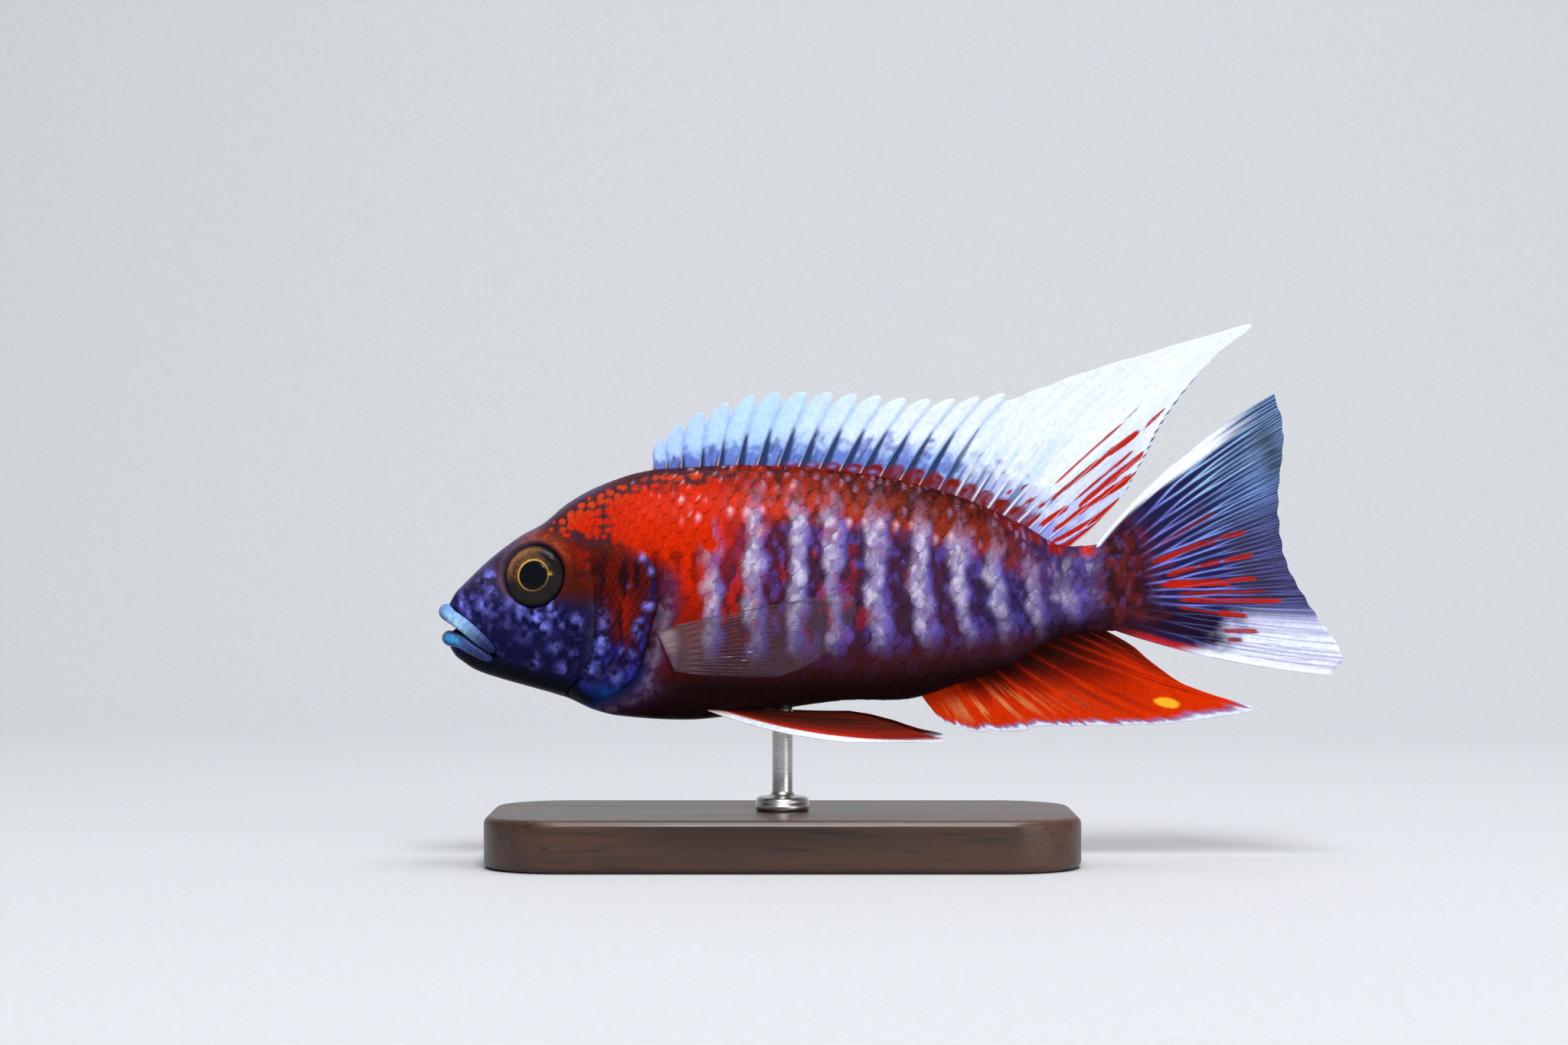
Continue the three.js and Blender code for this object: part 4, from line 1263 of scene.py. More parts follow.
class Shader(Wiring):
    """A material in the making, with a Principled surface."""

    def __init__(self, name: str) -> None:
        """Starts the material.

        Args:
            name: Its name.
        """
        self.material = bpy.data.materials.new(name)
        self.material.use_nodes = True
        self.tree = self.material.node_tree
        self.place = self.node("ShaderNodeTexCoord", {}, "Object")

    def set(self, **values: float | Socket) -> None:
        """Sets or joins the surface's own sockets; an underscore in a name stands for a space."""
        inputs = {name.replace("_", " "): value for name, value in values.items()}
        self.fill(self.tree.nodes["Principled BSDF"], inputs)

    def noise(self, scale: float, detail: float, stretch: tuple[float, float, float] = (1, 1, 1)) -> Socket:
        """Noise over the object's own space.

        Args:
            scale: Lumps for each metre.
            detail: How many finer layers it has.
            stretch: How much closer together the lumps are along each axis.

        Returns:
            The noise, from 0 to 1.
        """
        place = self.node("ShaderNodeMapping", {"Vector": self.place, "Scale": stretch})
        return self.node("ShaderNodeTexNoise", {"Vector": place, "Scale": scale, "Detail": detail}, "Fac")

    def ramp(self, source: Socket, low: float, high: float, start: float, end: float) -> Socket:
        """Moves a number from the range start to end into the range low to high, held at its ends."""
        ends = {"From Min": start, "From Max": end, "To Min": low, "To Max": high}
        return self.node("ShaderNodeMapRange", {"Value": source, **ends})

    def blend(self, a: object, b: object, factor: Socket) -> Socket:
        """Mixes two colours or sockets, the factor being the share of the second."""
        return self.node("ShaderNodeMix", {"Factor": factor, 6: a, 7: b}, 2, data_type="RGBA")

    def times(self, a: Socket, b: Socket) -> Socket:
        """Multiplies two numbers."""
        return self.node("ShaderNodeMath", {0: a, 1: b}, operation="MULTIPLY")

    def lit(self, colour: Socket, level: Socket) -> Socket:
        """Makes a colour lighter or darker by a number."""
        return self.node("ShaderNodeVectorMath", {0: colour, "Scale": level}, operation="SCALE")

    def tint(self) -> Socket:
        """The colour that the mesh's points carry."""
        return self.node("ShaderNodeAttribute", {}, "Color", attribute_name=TINT)

    def bump(self, source: Socket, depth: float, strength: float) -> None:
        """Makes the surface uneven.

        Args:
            source: The height, from 0 to 1.
            depth: What 1 is, in metres.
            strength: How much of it shows.
        """
        inputs = {"Height": source, "Distance": depth, "Strength": strength}
        self.set(Normal=self.node("ShaderNodeBump", inputs))


@dataclass(frozen=True)
class Flesh:
    """Wet painted skin: the colours of its points, uneven gloss and fine pores."""

    name: str
    roughness: float = 0.34
    specular: float = 0.03
    coat: float = 0.0
    pore: float = 2600.0
    depth: float = 0.00006
    variation: float = 0.22
    # how far a fine grain lightens and darkens the colour: partly random tone, partly a painted sparkle
    sparkle: float = 0.2

    def material(self) -> bpy.types.Material:
        """Makes the finish.

        Returns:
            The material.
        """
        shader = Shader(self.name)
        shader.set(Specular_IOR_Level=self.specular, Coat_Weight=self.coat, Coat_Roughness=0.15)
        cloud = shader.noise(self.pore * 0.45, 5.0)
        grain = shader.noise(self.pore * 2.2, 2.0)
        # the colour's uneven tone, and a painted sparkle of fine grain
        level = shader.times(
            shader.ramp(cloud, 1.0 - self.variation, 1.0 + self.variation, 0.3, 0.7),
            shader.ramp(grain, 1.0 - self.sparkle, 1.0 + self.sparkle * 1.4, 0.36, 0.66),
        )
        shader.set(Base_Color=shader.lit(shader.tint(), level))
        pores = shader.noise(self.pore, 3.0)
        shader.set(Roughness=shader.ramp(pores, self.roughness - 0.1, self.roughness + 0.12, 0.3, 0.7))
        shader.bump(pores, self.depth, 0.8)
        return shader.material


@dataclass(frozen=True)
class Film:
    """A thin clear finish whose colour and cover come from its points."""

    name: str
    roughness: float = 0.35

    def material(self) -> bpy.types.Material:
        """Makes the finish.

        Returns:
            The material.
        """
        shader = Shader(self.name)
        shader.set(Specular_IOR_Level=0.4, Coat_Weight=0.1)
        tint = shader.tint()
        shader.set(Base_Color=tint)
        shader.set(Alpha=tint.node.outputs["Alpha"])
        fine = shader.noise(3000.0, 2.0)
        shader.set(Roughness=shader.ramp(fine, self.roughness - 0.08, self.roughness + 0.1, 0.3, 0.7))
        shader.bump(fine, 0.00003, 0.5)
        return shader.material


@dataclass(frozen=True)
class Cornea:
    """The clear bright front of an eye."""

    name: str = "cornea"
    alpha: float = 0.05

    def material(self) -> bpy.types.Material:
        """Makes the finish.

        Returns:
            The material.
        """
        shader = Shader(self.name)
        shader.set(Alpha=self.alpha, Roughness=0.04, Specular_IOR_Level=0.3)
        faint = shader.noise(400.0, 1.0)
        shader.set(Base_Color=shader.blend((0.02, 0.02, 0.03, 1), (0.05, 0.06, 0.09, 1), faint))
        return shader.material


@dataclass(frozen=True)
class Walnut:
    """Dark oiled wood with its grain along the base."""

    name: str = "stand_wood"

    def material(self) -> bpy.types.Material:
        """Makes the finish.

        Returns:
            The material.
        """
        shader = Shader(self.name)
        shader.set(Specular_IOR_Level=0.45, Coat_Weight=0.18, Coat_Roughness=0.25)
        growth = shader.noise(60.0, 6.0, (0.22, 3.2, 2.4))
        pores = shader.noise(900.0, 3.0, (0.08, 1.6, 1.6))
        wood = shader.blend(Hue.WALNUT.rgba, Hue.WALNUT_LIGHT.rgba, shader.ramp(growth, 0.0, 1.0, 0.38, 0.66))
        pitted = shader.ramp(pores, 0.0, 0.7, 0.56, 0.72)
        shader.set(Base_Color=shader.blend(wood, (0.006, 0.004, 0.003, 1), pitted))
        shader.set(Roughness=shader.ramp(growth, 0.34, 0.5, 0.3, 0.7))
        shader.bump(pores, 0.00006, 0.6)
        return shader.material


@dataclass(frozen=True)
class Worked:
    """A plain finish with one fine pattern: two colours, uneven gloss and, for metal, brush marks."""

    name: str
    base: Hue
    other: tuple[float, float, float, float]
    scale: float
    detail: float
    stretch: tuple[float, float, float] = (1.0, 1.0, 1.0)
    blend_from: float = 0.3
    marks: float = 0.0

    def material(self) -> bpy.types.Material:
        """Makes the finish.

        Returns:
            The material.
        """
        shader = Shader(self.name)
        pattern = shader.noise(self.scale, self.detail, self.stretch)
        share = shader.ramp(pattern, 0.0, 0.5, self.blend_from, 0.7)
        shader.set(Base_Color=shader.blend(self.base.rgba, self.other, share))
        if self.marks:
            shader.set(Metallic=1.0, Roughness=shader.ramp(pattern, 0.24, 0.38, 0.3, 0.7))
            shader.bump(pattern, self.marks, 0.4)
        else:
            shader.set(Roughness=0.9, Specular_IOR_Level=0.1)
        return shader.material


STEEL = Worked("stand_metal", Hue.STEEL, (0.36, 0.36, 0.35, 1), 220.0, 4.0, (1.0, 1.0, 30.0), 0.4, 0.00002)
PAPER = Worked("backdrop_paper", Hue.PAPER, (0.42, 0.43, 0.45, 1), 700.0, 3.0)


def enrol(piece: bpy.types.Object, slot: str, *nodes: str, finish: bpy.types.Material | None = None) -> None:
    """Puts a finished piece on the frame.

    Args:
        piece: The piece.
        slot: The name of the record's material slot for it; not used.
        nodes: The nodes that it stands for.
        finish: Its material, if it hasn't one yet.
    """
    if finish:
        piece.data.materials.append(finish)
    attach(piece, ROOT)
    if nodes:
        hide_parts(*nodes)
    LOG.info("%s: %d faces", piece.name, len(piece.data.polygons))


@dataclass
class Skin:
    """The one skin of head, jaw, gill covers, trunk and tail stalk."""

    body: Body
    relief: Relief
    markings: Markings
    around: int = 248
    fine_step: float = 0.175
    coarse_step: float = 0.42
    fine_until: float = 37.0
    coat_depth: float = 0.2
    mouth_recess: float = 2.4

    def stations(self) -> Array:
        """Places along the fish, close together on the head.

        Returns:
            The places.
        """
        places = [self.body.nose + 0.03]
        while places[-1] < self.body.stalk_end:
            share = float(soft(self.fine_until, self.fine_until + 6, np.array(places[-1])))
            tail = float(soft(108.0, 110.5, np.array(places[-1])))
            step = self.fine_step + (self.coarse_step - self.fine_step) * share
            places.append(places[-1] + step * (1 - 0.6 * tail))
        return np.array(places[:-1])

    def scaled(self, s: Array, h: Array) -> Array:
        """How much of the coat's depth the skin lies below the solids: 0 on bare skin, 1 under the scales.

        Args:
            s: Places along the fish.
            h: Their heights.

        Returns:
            The shares.
        """
        trunk = soft(0.9, 2.4, self.relief.past_gill_edge(s, h)) * soft(4.6, 3.6, h)
        nape = soft(17.0, 25.0, s) * soft(3.0, 4.6, h) * (0.3 + 0.7 * soft(26.0, 50.0, s))
        return np.maximum(trunk, nape)

    def build(self) -> bpy.types.Object:
        """Makes the skin and colours it.

        Returns:
            The skin.
        """
        stations = self.stations()
        turns = circle(self.around)
        s, turn = np.meshgrid(stations, turns, indexing="ij")
        points = self.body.ring(s, turn)
        out = self.body.outward(s, turn)
        height = self.relief.height(points) - self.coat_depth * self.scaled(s, points[..., 2])
        shown = points + out * height[..., None]
        h = points[..., 2]
        shown[..., 0] += self.mouth_recess * soft(3.6, 1.4, s) * near(h, MOUTH_LINE(s), 1.1)
        ends = [self.body.nose + 0.01, self.body.stalk_end - 0.01]
        tips = np.array([[e, 0.0, float(self.body.section(np.array(e))[0])] for e in ends])
        tips[0, 0] += self.mouth_recess
        made = make_tube("skin", at_place(shown), at_place(tips))
        flat = np.concatenate([points.reshape(-1, 3), tips])
        set_tint(made, self.markings.colour(flat[:, 0], flat[:, 2]))
        nodes = ("head", "lower_jaw", "torso", "tail_stalk", "gill_cover_left", "gill_cover_right")
        enrol(made, "head_skin", *nodes, finish=Flesh("skin_flesh").material())
        return made


@dataclass
class ScaleCoat:
    """The overlapping scales of the trunk, nape and tail stalk."""

    body: Body
    relief: Relief
    markings: Markings
    flat: Unrolled
    name: str = "scales"
    spacing: float = 2.45
    row: float = 2.2
    overlap: float = 1.95
    cover: float = 1.1
    lift: float = 0.08
    own_colour: float = 0.14
    shares: tuple[float, ...] = (0.0, 0.34, 0.48, 0.56, 0.64, 0.72, 0.8, 0.88, 0.95, 1.0)
    rows: int = 9
    raised: float = 0.0
    first: float = 14.0
    last: float = 110.2
    seed: int = 7
    eye_clearance: float = 7.0
    bare_strip: float = 1.7
    nape_from: float = 4.2
    turn: float = 0.06

    def size(self, s: Array) -> Array:
        """How large the scales are along the fish, 1 on the flank."""
        return 0.42 + 0.58 * soft(17.0, 41.0, s) - 0.2 * soft(76.0, 98.0, s) - 0.25 * soft(100.0, 109.0, s)

    def off_eye(self, s: Array, h: Array) -> Array:
        """Whether a place is clear of the eye's socket."""
        eye = self.relief.eye
        return np.hypot(s - eye.s, h - eye.h) > self.eye_clearance

    def nape(self, s: Array, h: Array) -> Array:
        """How far behind the front of the scaled nape a place lies."""
        return s - 16.2 - 0.7 * np.maximum(7.0 - h, 0.0)

    def wanted(self, s: Array, h: Array) -> Array:
        """Whether a scale grows at a place."""
        trunk = (self.relief.past_gill_edge(s, h) > self.bare_strip) & (h < self.nape_from)
        return trunk | ((h >= self.nape_from) & (self.nape(s, h) > 0) & self.off_eye(s, h))

    def proud(self, s: Array, h: Array) -> Array:
        """How much scales stand out: less where they are sunk in the skin.

        Args:
            s: Places along the fish.
            h: Their heights.

        Returns:
            The shares of a scale's full height.
        """
        over_gill = 1 - 0.95 * soft(34.0, 30.0, s) * soft(9.0, 4.4, h)
        over_gill *= 1 - 0.75 * soft(50.0, 38.0, s) * soft(-13.0, -17.0, h)
        return (0.1 + 0.9 * soft(6.0, 38.0, self.nape(s, h)) * soft(111.0, 104.0, s)) * over_gill

    def settled(self, points: Array) -> Array:
        """The points at which the relief under the scales is read, behind the gill opening."""
        return self.relief.beside_edge(points, True)

    def pattern(self) -> bpy.types.Object:
        """Makes one scale, 1 long and 2 wide, along X from its root at the origin, with a keel underneath.

        Returns:
            The scale.
        """
        even = np.linspace(-1.0, 1.0, self.rows)
        across = 0.6 * even + 0.4 * np.sin(even * math.pi / 2)
        b, t = np.meshgrid(across, self.shares, indexing="ij")
        reach = 0.44 + 0.56 * np.sqrt(np.clip(1 - b**2, 0, 1))
        x = reach * t
        y = b * (0.8 + 0.2 * np.sin(math.pi * np.clip(t * 0.9 + 0.1, 0, 1)))
        rise = -1.5 + 2.1 * soft(0.0, 1.05, x) - 0.3 * b**2 * soft(0.2, 0.9, x) - 0.12 * soft(0.93, 1.0, t)
        top = np.stack([x, y, rise], axis=-1).reshape(-1, 3)
        points = np.concatenate([top, [[0.5, 0.0, -1.3]]])
        columns = len(self.shares)
        i, j = np.meshgrid(np.arange(self.rows - 1), np.arange(columns - 1), indexing="ij")
        a = (i * columns + j).ravel()
        faces = np.stack([a, a + columns, a + columns + 1, a + 1], axis=-1)
        rim = rim_of(self.rows, columns)
        keel = np.stack([rim, np.roll(rim, -1), np.full(len(rim), len(top))], axis=-1)
        made = make_mesh("scale_pattern", points, [faces, keel])
        ends = np.zeros(len(made.data.edges) * 2, np.int32)
        made.data.edges.foreach_get("vertices", ends)
        sharp = np.isin(ends.reshape(-1, 2), rim).all(axis=1)
        made.data.attributes.new("sharp_edge", "BOOLEAN", "EDGE").data.foreach_set("value", sharp)
        edge = np.append(t.ravel(), 0.0)
        give_numbers(made.data, {"along": points[:, 0], "across": points[:, 1], "edge": edge})
        return made

    def roots(self) -> tuple[Array, Array]:
        """Where the scales stand on the flat field: along the fish, and round it from the side line.

        Returns:
            The places along the fish and the ways round it.
        """
        fine = np.linspace(self.first, self.last, 4000)
        count = np.concatenate([[0], np.cumsum(np.diff(fine) / (self.spacing * self.size(fine[:-1])))])
        places, ways = [], []
        most = math.ceil(30.0 / (self.row * float(self.size(fine).min())))
        for k in range(-most, most):
            s = np.interp(np.arange(math.ceil(count[-1])) + 0.5 * (k % 2), count, fine)
            way = (k + 0.5) * self.row * self.size(s)
            top, bottom = self.flat.reach(s)
            keep = (way < top + 0.5 * self.row) & (way > -bottom - 0.5 * self.row) & (s < self.last - 1.2)
            places.append(s[keep])
            ways.append(way[keep])
        return np.concatenate(places), np.concatenate(ways)

    def build(
        self, side: Side, pattern: bpy.types.Object, tree: bpy.types.NodeTree, finish: bpy.types.Material
    ) -> bpy.types.Object:
        """Grows one side's scales.

        Args:
            side: Which side.
            pattern: The scale that is repeated.
            tree: The tree that sets it on points.
            finish: The scales' material.

        Returns:
            The coat.
        """
        s, way = self.roots()
        middle, _ = self.flat.wrap(s + 0.7 * self.spacing * self.overlap * self.size(s), way)
        keep = self.wanted(middle[:, 0], middle[:, 2])
        s, way, middle = s[keep], way[keep], middle[keep]
        size = self.size(s)
        values = {
            "long": self.spacing * self.overlap * size,
            "wide": self.row * self.cover * size,
            "lift": self.lift * (0.35 + 0.65 * size) * self.proud(middle[:, 0], middle[:, 2]),
            "rank": np.arange(len(s), dtype=float),
        }
        seedling = seed_points("scale_roots", np.stack([s, way, np.zeros_like(s)], axis=-1), values)
        inputs = {"Scale": pattern, "Turn": self.turn, "Seed": self.seed, "Material": finish}
        made = grow(seedling, tree, inputs, f"{self.name}_{side.word}")
        self.lay(made, side, middle)
        self.unwrap(made, side, s, way)
        LOG.info("%s: %d scales", made.name, len(s))
        enrol(made, "flank_skin")
        return made

    def lay(self, made: bpy.types.Object, side: Side, middle: Array) -> None:
        """Wraps the flat scales onto the body and colours them.

        Args:
            made: The flat coat.
            side: Which side it covers.
            middle: A point in the middle of each scale's visible part.
        """
        mesh = made.data
        luck = np.random.default_rng(self.seed + (side is Side.RIGHT)).random(len(middle))
        flat = points_of(mesh)
        rank = np.round(numbers_of(mesh, "rank")).astype(int)
        local = np.stack([numbers_of(mesh, name) for name in ("along", "across", "edge")], axis=-1)
        points, out = self.flat.wrap(flat[:, 0], flat[:, 1])
        height = self.relief.height(self.settled(points)) + flat[:, 2] + self.raised
        laid = points + out * height[:, None]
        own = middle[rank][:, [0, 2]]
        held = self.own_colour * soft(26.0, 38.0, own[:, :1])
        seen = held * own + (1 - held) * points[:, [0, 2]]
        under = self.markings.colour(seen[:, 0], seen[:, 1])
        laid[:, 1] *= side.value
        mesh.vertices.foreach_set("co", at_place(laid).astype(np.float32).ravel())
        if side is Side.LEFT:
            mesh.flip_normals()
        mesh.update()
        set_tint(made, self.markings.on_scales(under, own, local, luck[rank]))

    def unwrap(self, made: bpy.types.Object, side: Side, s: Array, way: Array) -> None:
        """Gives each scale a small patch at its root's place on an unwrap of the skin.

        Args:
            made: The coat.
            side: Which side it covers.
            s: The roots' places along the fish.
            way: Their places round it.
        """
        mesh = made.data
        patch, length, girth = 0.003, 115.0, 120.0
        rank = np.round(numbers_of(mesh, "rank")).astype(int)
        local = np.stack([numbers_of(mesh, "along"), 0.5 + 0.5 * numbers_of(mesh, "across")], axis=-1)
        middle = 0.25 if side is Side.LEFT else 0.75
        root = np.stack([s / length, middle + way / girth], axis=-1)
        at = root[rank] + (local - 0.5) * patch
        corners = np.zeros(len(mesh.loops), np.int32)
        mesh.loops.foreach_get("vertex_index", corners)
        layer = mesh.uv_layers.new(name=BAKE_MAP)
        layer.data.foreach_set("uv", at[corners].astype(np.float32).ravel())


@dataclass
class FaceCoat(ScaleCoat):
    """The small sunken scales of cheek and gill cover."""

    name: str = "face_scales"
    spacing: float = 1.05
    row: float = 0.92
    lift: float = 0.07
    own_colour: float = 0.0
    shares: tuple[float, ...] = (0.0, 0.4, 0.6, 0.78, 0.92, 1.0)
    rows: int = 6
    raised: float = 0.035
    last: float = 36.0
    eye_clearance: float = 7.4
    top: float = 2.4
    cover_top: float = 3.8
    bottom: float = -16.5
    over_belly: float = 3.4
    edge_margin: float = 1.0

    def size(self, s: Array) -> Array:
        """How large the scales are: smallest on the cheek."""
        return 0.8 + 0.35 * soft(22.0, 34.0, s)

    def wanted(self, s: Array, h: Array) -> Array:
        """Whether a scale grows at a place.

        Args:
            s: Places along the fish.
            h: Their heights.

        Returns:
            Yes or no for each place.
        """
        past, before = self.relief.past_cheek(s, h), -self.relief.past_gill_edge(s, h)
        front = 16.5 - 0.35 * (h + 7.0)
        cheek = self.off_eye(s, h) & (s > front) & (past < -self.edge_margin) & (h < self.top)
        cover = (past > 0.9) & (before > self.edge_margin) & (h < self.cover_top)
        return (cheek | cover) & (h > self.bottom) & (h > BELLY(s) + self.over_belly)

    def proud(self, s: Array, h: Array) -> Array:
        """How much scales stand out: little at the top of the gill cover."""
        return 0.12 + 0.55 * soft(3.2, -1.0, h)

    def settled(self, points: Array) -> Array:
        """The points at which the relief under the scales is read, before the gill opening."""
        return self.relief.beside_edge(points, False)


@dataclass(frozen=True)
class LipPath:
    """A lip's line from the middle of the mouth to its corner, as in the solids, and its thickness."""

    along: Curve
    aside: Curve
    high: Curve
    radius: Curve


UPPER_LIP = LipPath(
    Curve((0, 1.4), (0.2, 1.9), (0.45, 3.9), (0.7, 6.1), (1, 9.2)),
    Curve((0, 0), (0.2, 1.6), (0.45, 2.9), (0.7, 3.9), (1, 4.8)),
    Curve((0, -5.9), (0.2, -6.2), (0.45, -7.5), (0.7, -9.3), (1, -12.1)),
    Curve((0, 1.3), (0.45, 1.2), (0.75, 1.05), (1, 0.75)),
)
LOWER_LIP = LipPath(
    Curve((0, 1.8), (0.2, 2.2), (0.45, 3.9), (0.7, 6.0), (1, 8.8)),
    Curve((0, 0), (0.2, 1.5), (0.45, 2.7), (0.7, 3.5), (1, 4.4)),
    Curve((0, -10.0), (0.2, -10.1), (0.45, -10.5), (0.7, -11.7), (1, -13.3)),
    Curve((0, 1.2), (0.45, 1.1), (0.75, 0.95), (1, 0.6)),
)


@dataclass
class Lip:
    """A fleshy lip, from one corner of the mouth round the front to the other."""

    name: str
    path: LipPath
    rings: int = 110
    around: int = 28
    grain: Grain = field(default_factory=lambda: Grain(51))

    def line(self, v: Array) -> Array:
        """Points of the lip's middle line, v running from -1 on the left to 1 on the right."""
        w = np.abs(v)
        return np.stack([self.path.along(w), np.sign(v) * self.path.aside(w), self.path.high(w)], axis=-1)

    def colour(self, w: Array, turn: Array) -> Array:
        """The lip's colours.

        Args:
            w: The share of the way from the middle to the corner.
            turn: The angle round the lip, 0 facing out and a quarter turn on its upper side.

        Returns:
            The colours.
        """
        upward = np.sin(turn)
        ground = (Hue.LIP_DUSK, soft(0.4, 0.85, w)), (Hue.LIP_DUSK, soft(0.1, -0.9, upward) * 0.8)
        if self.path is UPPER_LIP:
            coats = (
                # painted highlight: a pale band along the upper lip, a little above its middle
                (Hue.LIP_ICE, near(w, 0.45, 0.23) * near(upward, 0.25, 0.6) * 0.95),
                (Hue.SNOUT_LILAC, soft(0.16, 0.0, w) * 0.6),
                (Hue.INK, soft(0.78, 1.0, w) * 0.6),
            )
        else:
            coats = (
                (Hue.LIP_DUSK, 0.35 + 0.35 * soft(0.0, 0.8, upward)),
                (Hue.LIP_CYAN, near(w, 0.34, 0.12) * near(upward, -0.1, 0.5) * 0.9),
            )
        base = paint(Hue.LIP_BLUE, *ground, *coats)
        lumps = self.grain.layered(w * 14, turn * 1.5)
        creases = self.grain.layered(w * 46, turn * 0.9)
        return base * (0.58 + 0.4 * lumps + 0.4 * soft(0.3, 0.6, creases))[..., None]

    def build(self, finish: bpy.types.Material, *nodes: str) -> bpy.types.Object:
        """Makes the lip.

        Args:
            finish: Its material.
            nodes: The nodes that it stands for.

        Returns:
            The lip.
        """
        even = np.linspace(-1, 1, self.rings)
        v = np.sin(np.linspace(-math.pi / 2, math.pi / 2, self.rings)) * 0.4 + even * 0.6
        ahead = unit(self.line(np.minimum(v + 0.02, 1)) - self.line(np.maximum(v - 0.02, -1)))
        side = np.cross(np.array([-1.0, 0.0, 0.25]), ahead)
        outward = -unit(np.cross(side, ahead))
        upward = np.cross(ahead, outward)
        turn = circle(self.around)
        upward = upward * np.where(upward[:, 2:] < 0, -1.0, 1.0)
        w = np.abs(v)
        blunt = 0.35 + 0.65 * quarter_round((1 - w) / 0.12)
        radius = self.path.radius(w) * blunt
        crease = 1 + 0.03 * (self.grain.layered(v[:, None] * 22, turn[None, :] * 0.8) - 0.5)
        size = radius[:, None] * crease
        rings = (
            self.line(v)[:, None]
            + outward[:, None] * (size * np.cos(turn))[..., None]
            + upward[:, None] * (size * np.sin(turn))[..., None]
        )
        ends = self.line(np.array([-1.0, 1.0]))
        made = make_tube(self.name, at_place(rings), at_place(ends))
        ring_w = np.broadcast_to(w[:, None], size.shape).ravel()
        ring_turn = np.broadcast_to(turn[None, :], size.shape).ravel()
        colours = self.colour(ring_w, ring_turn)
        set_tint(made, np.concatenate([colours, colours[[0, -1]]]))
        enrol(made, "lip_skin", *nodes, finish=finish)
        return made


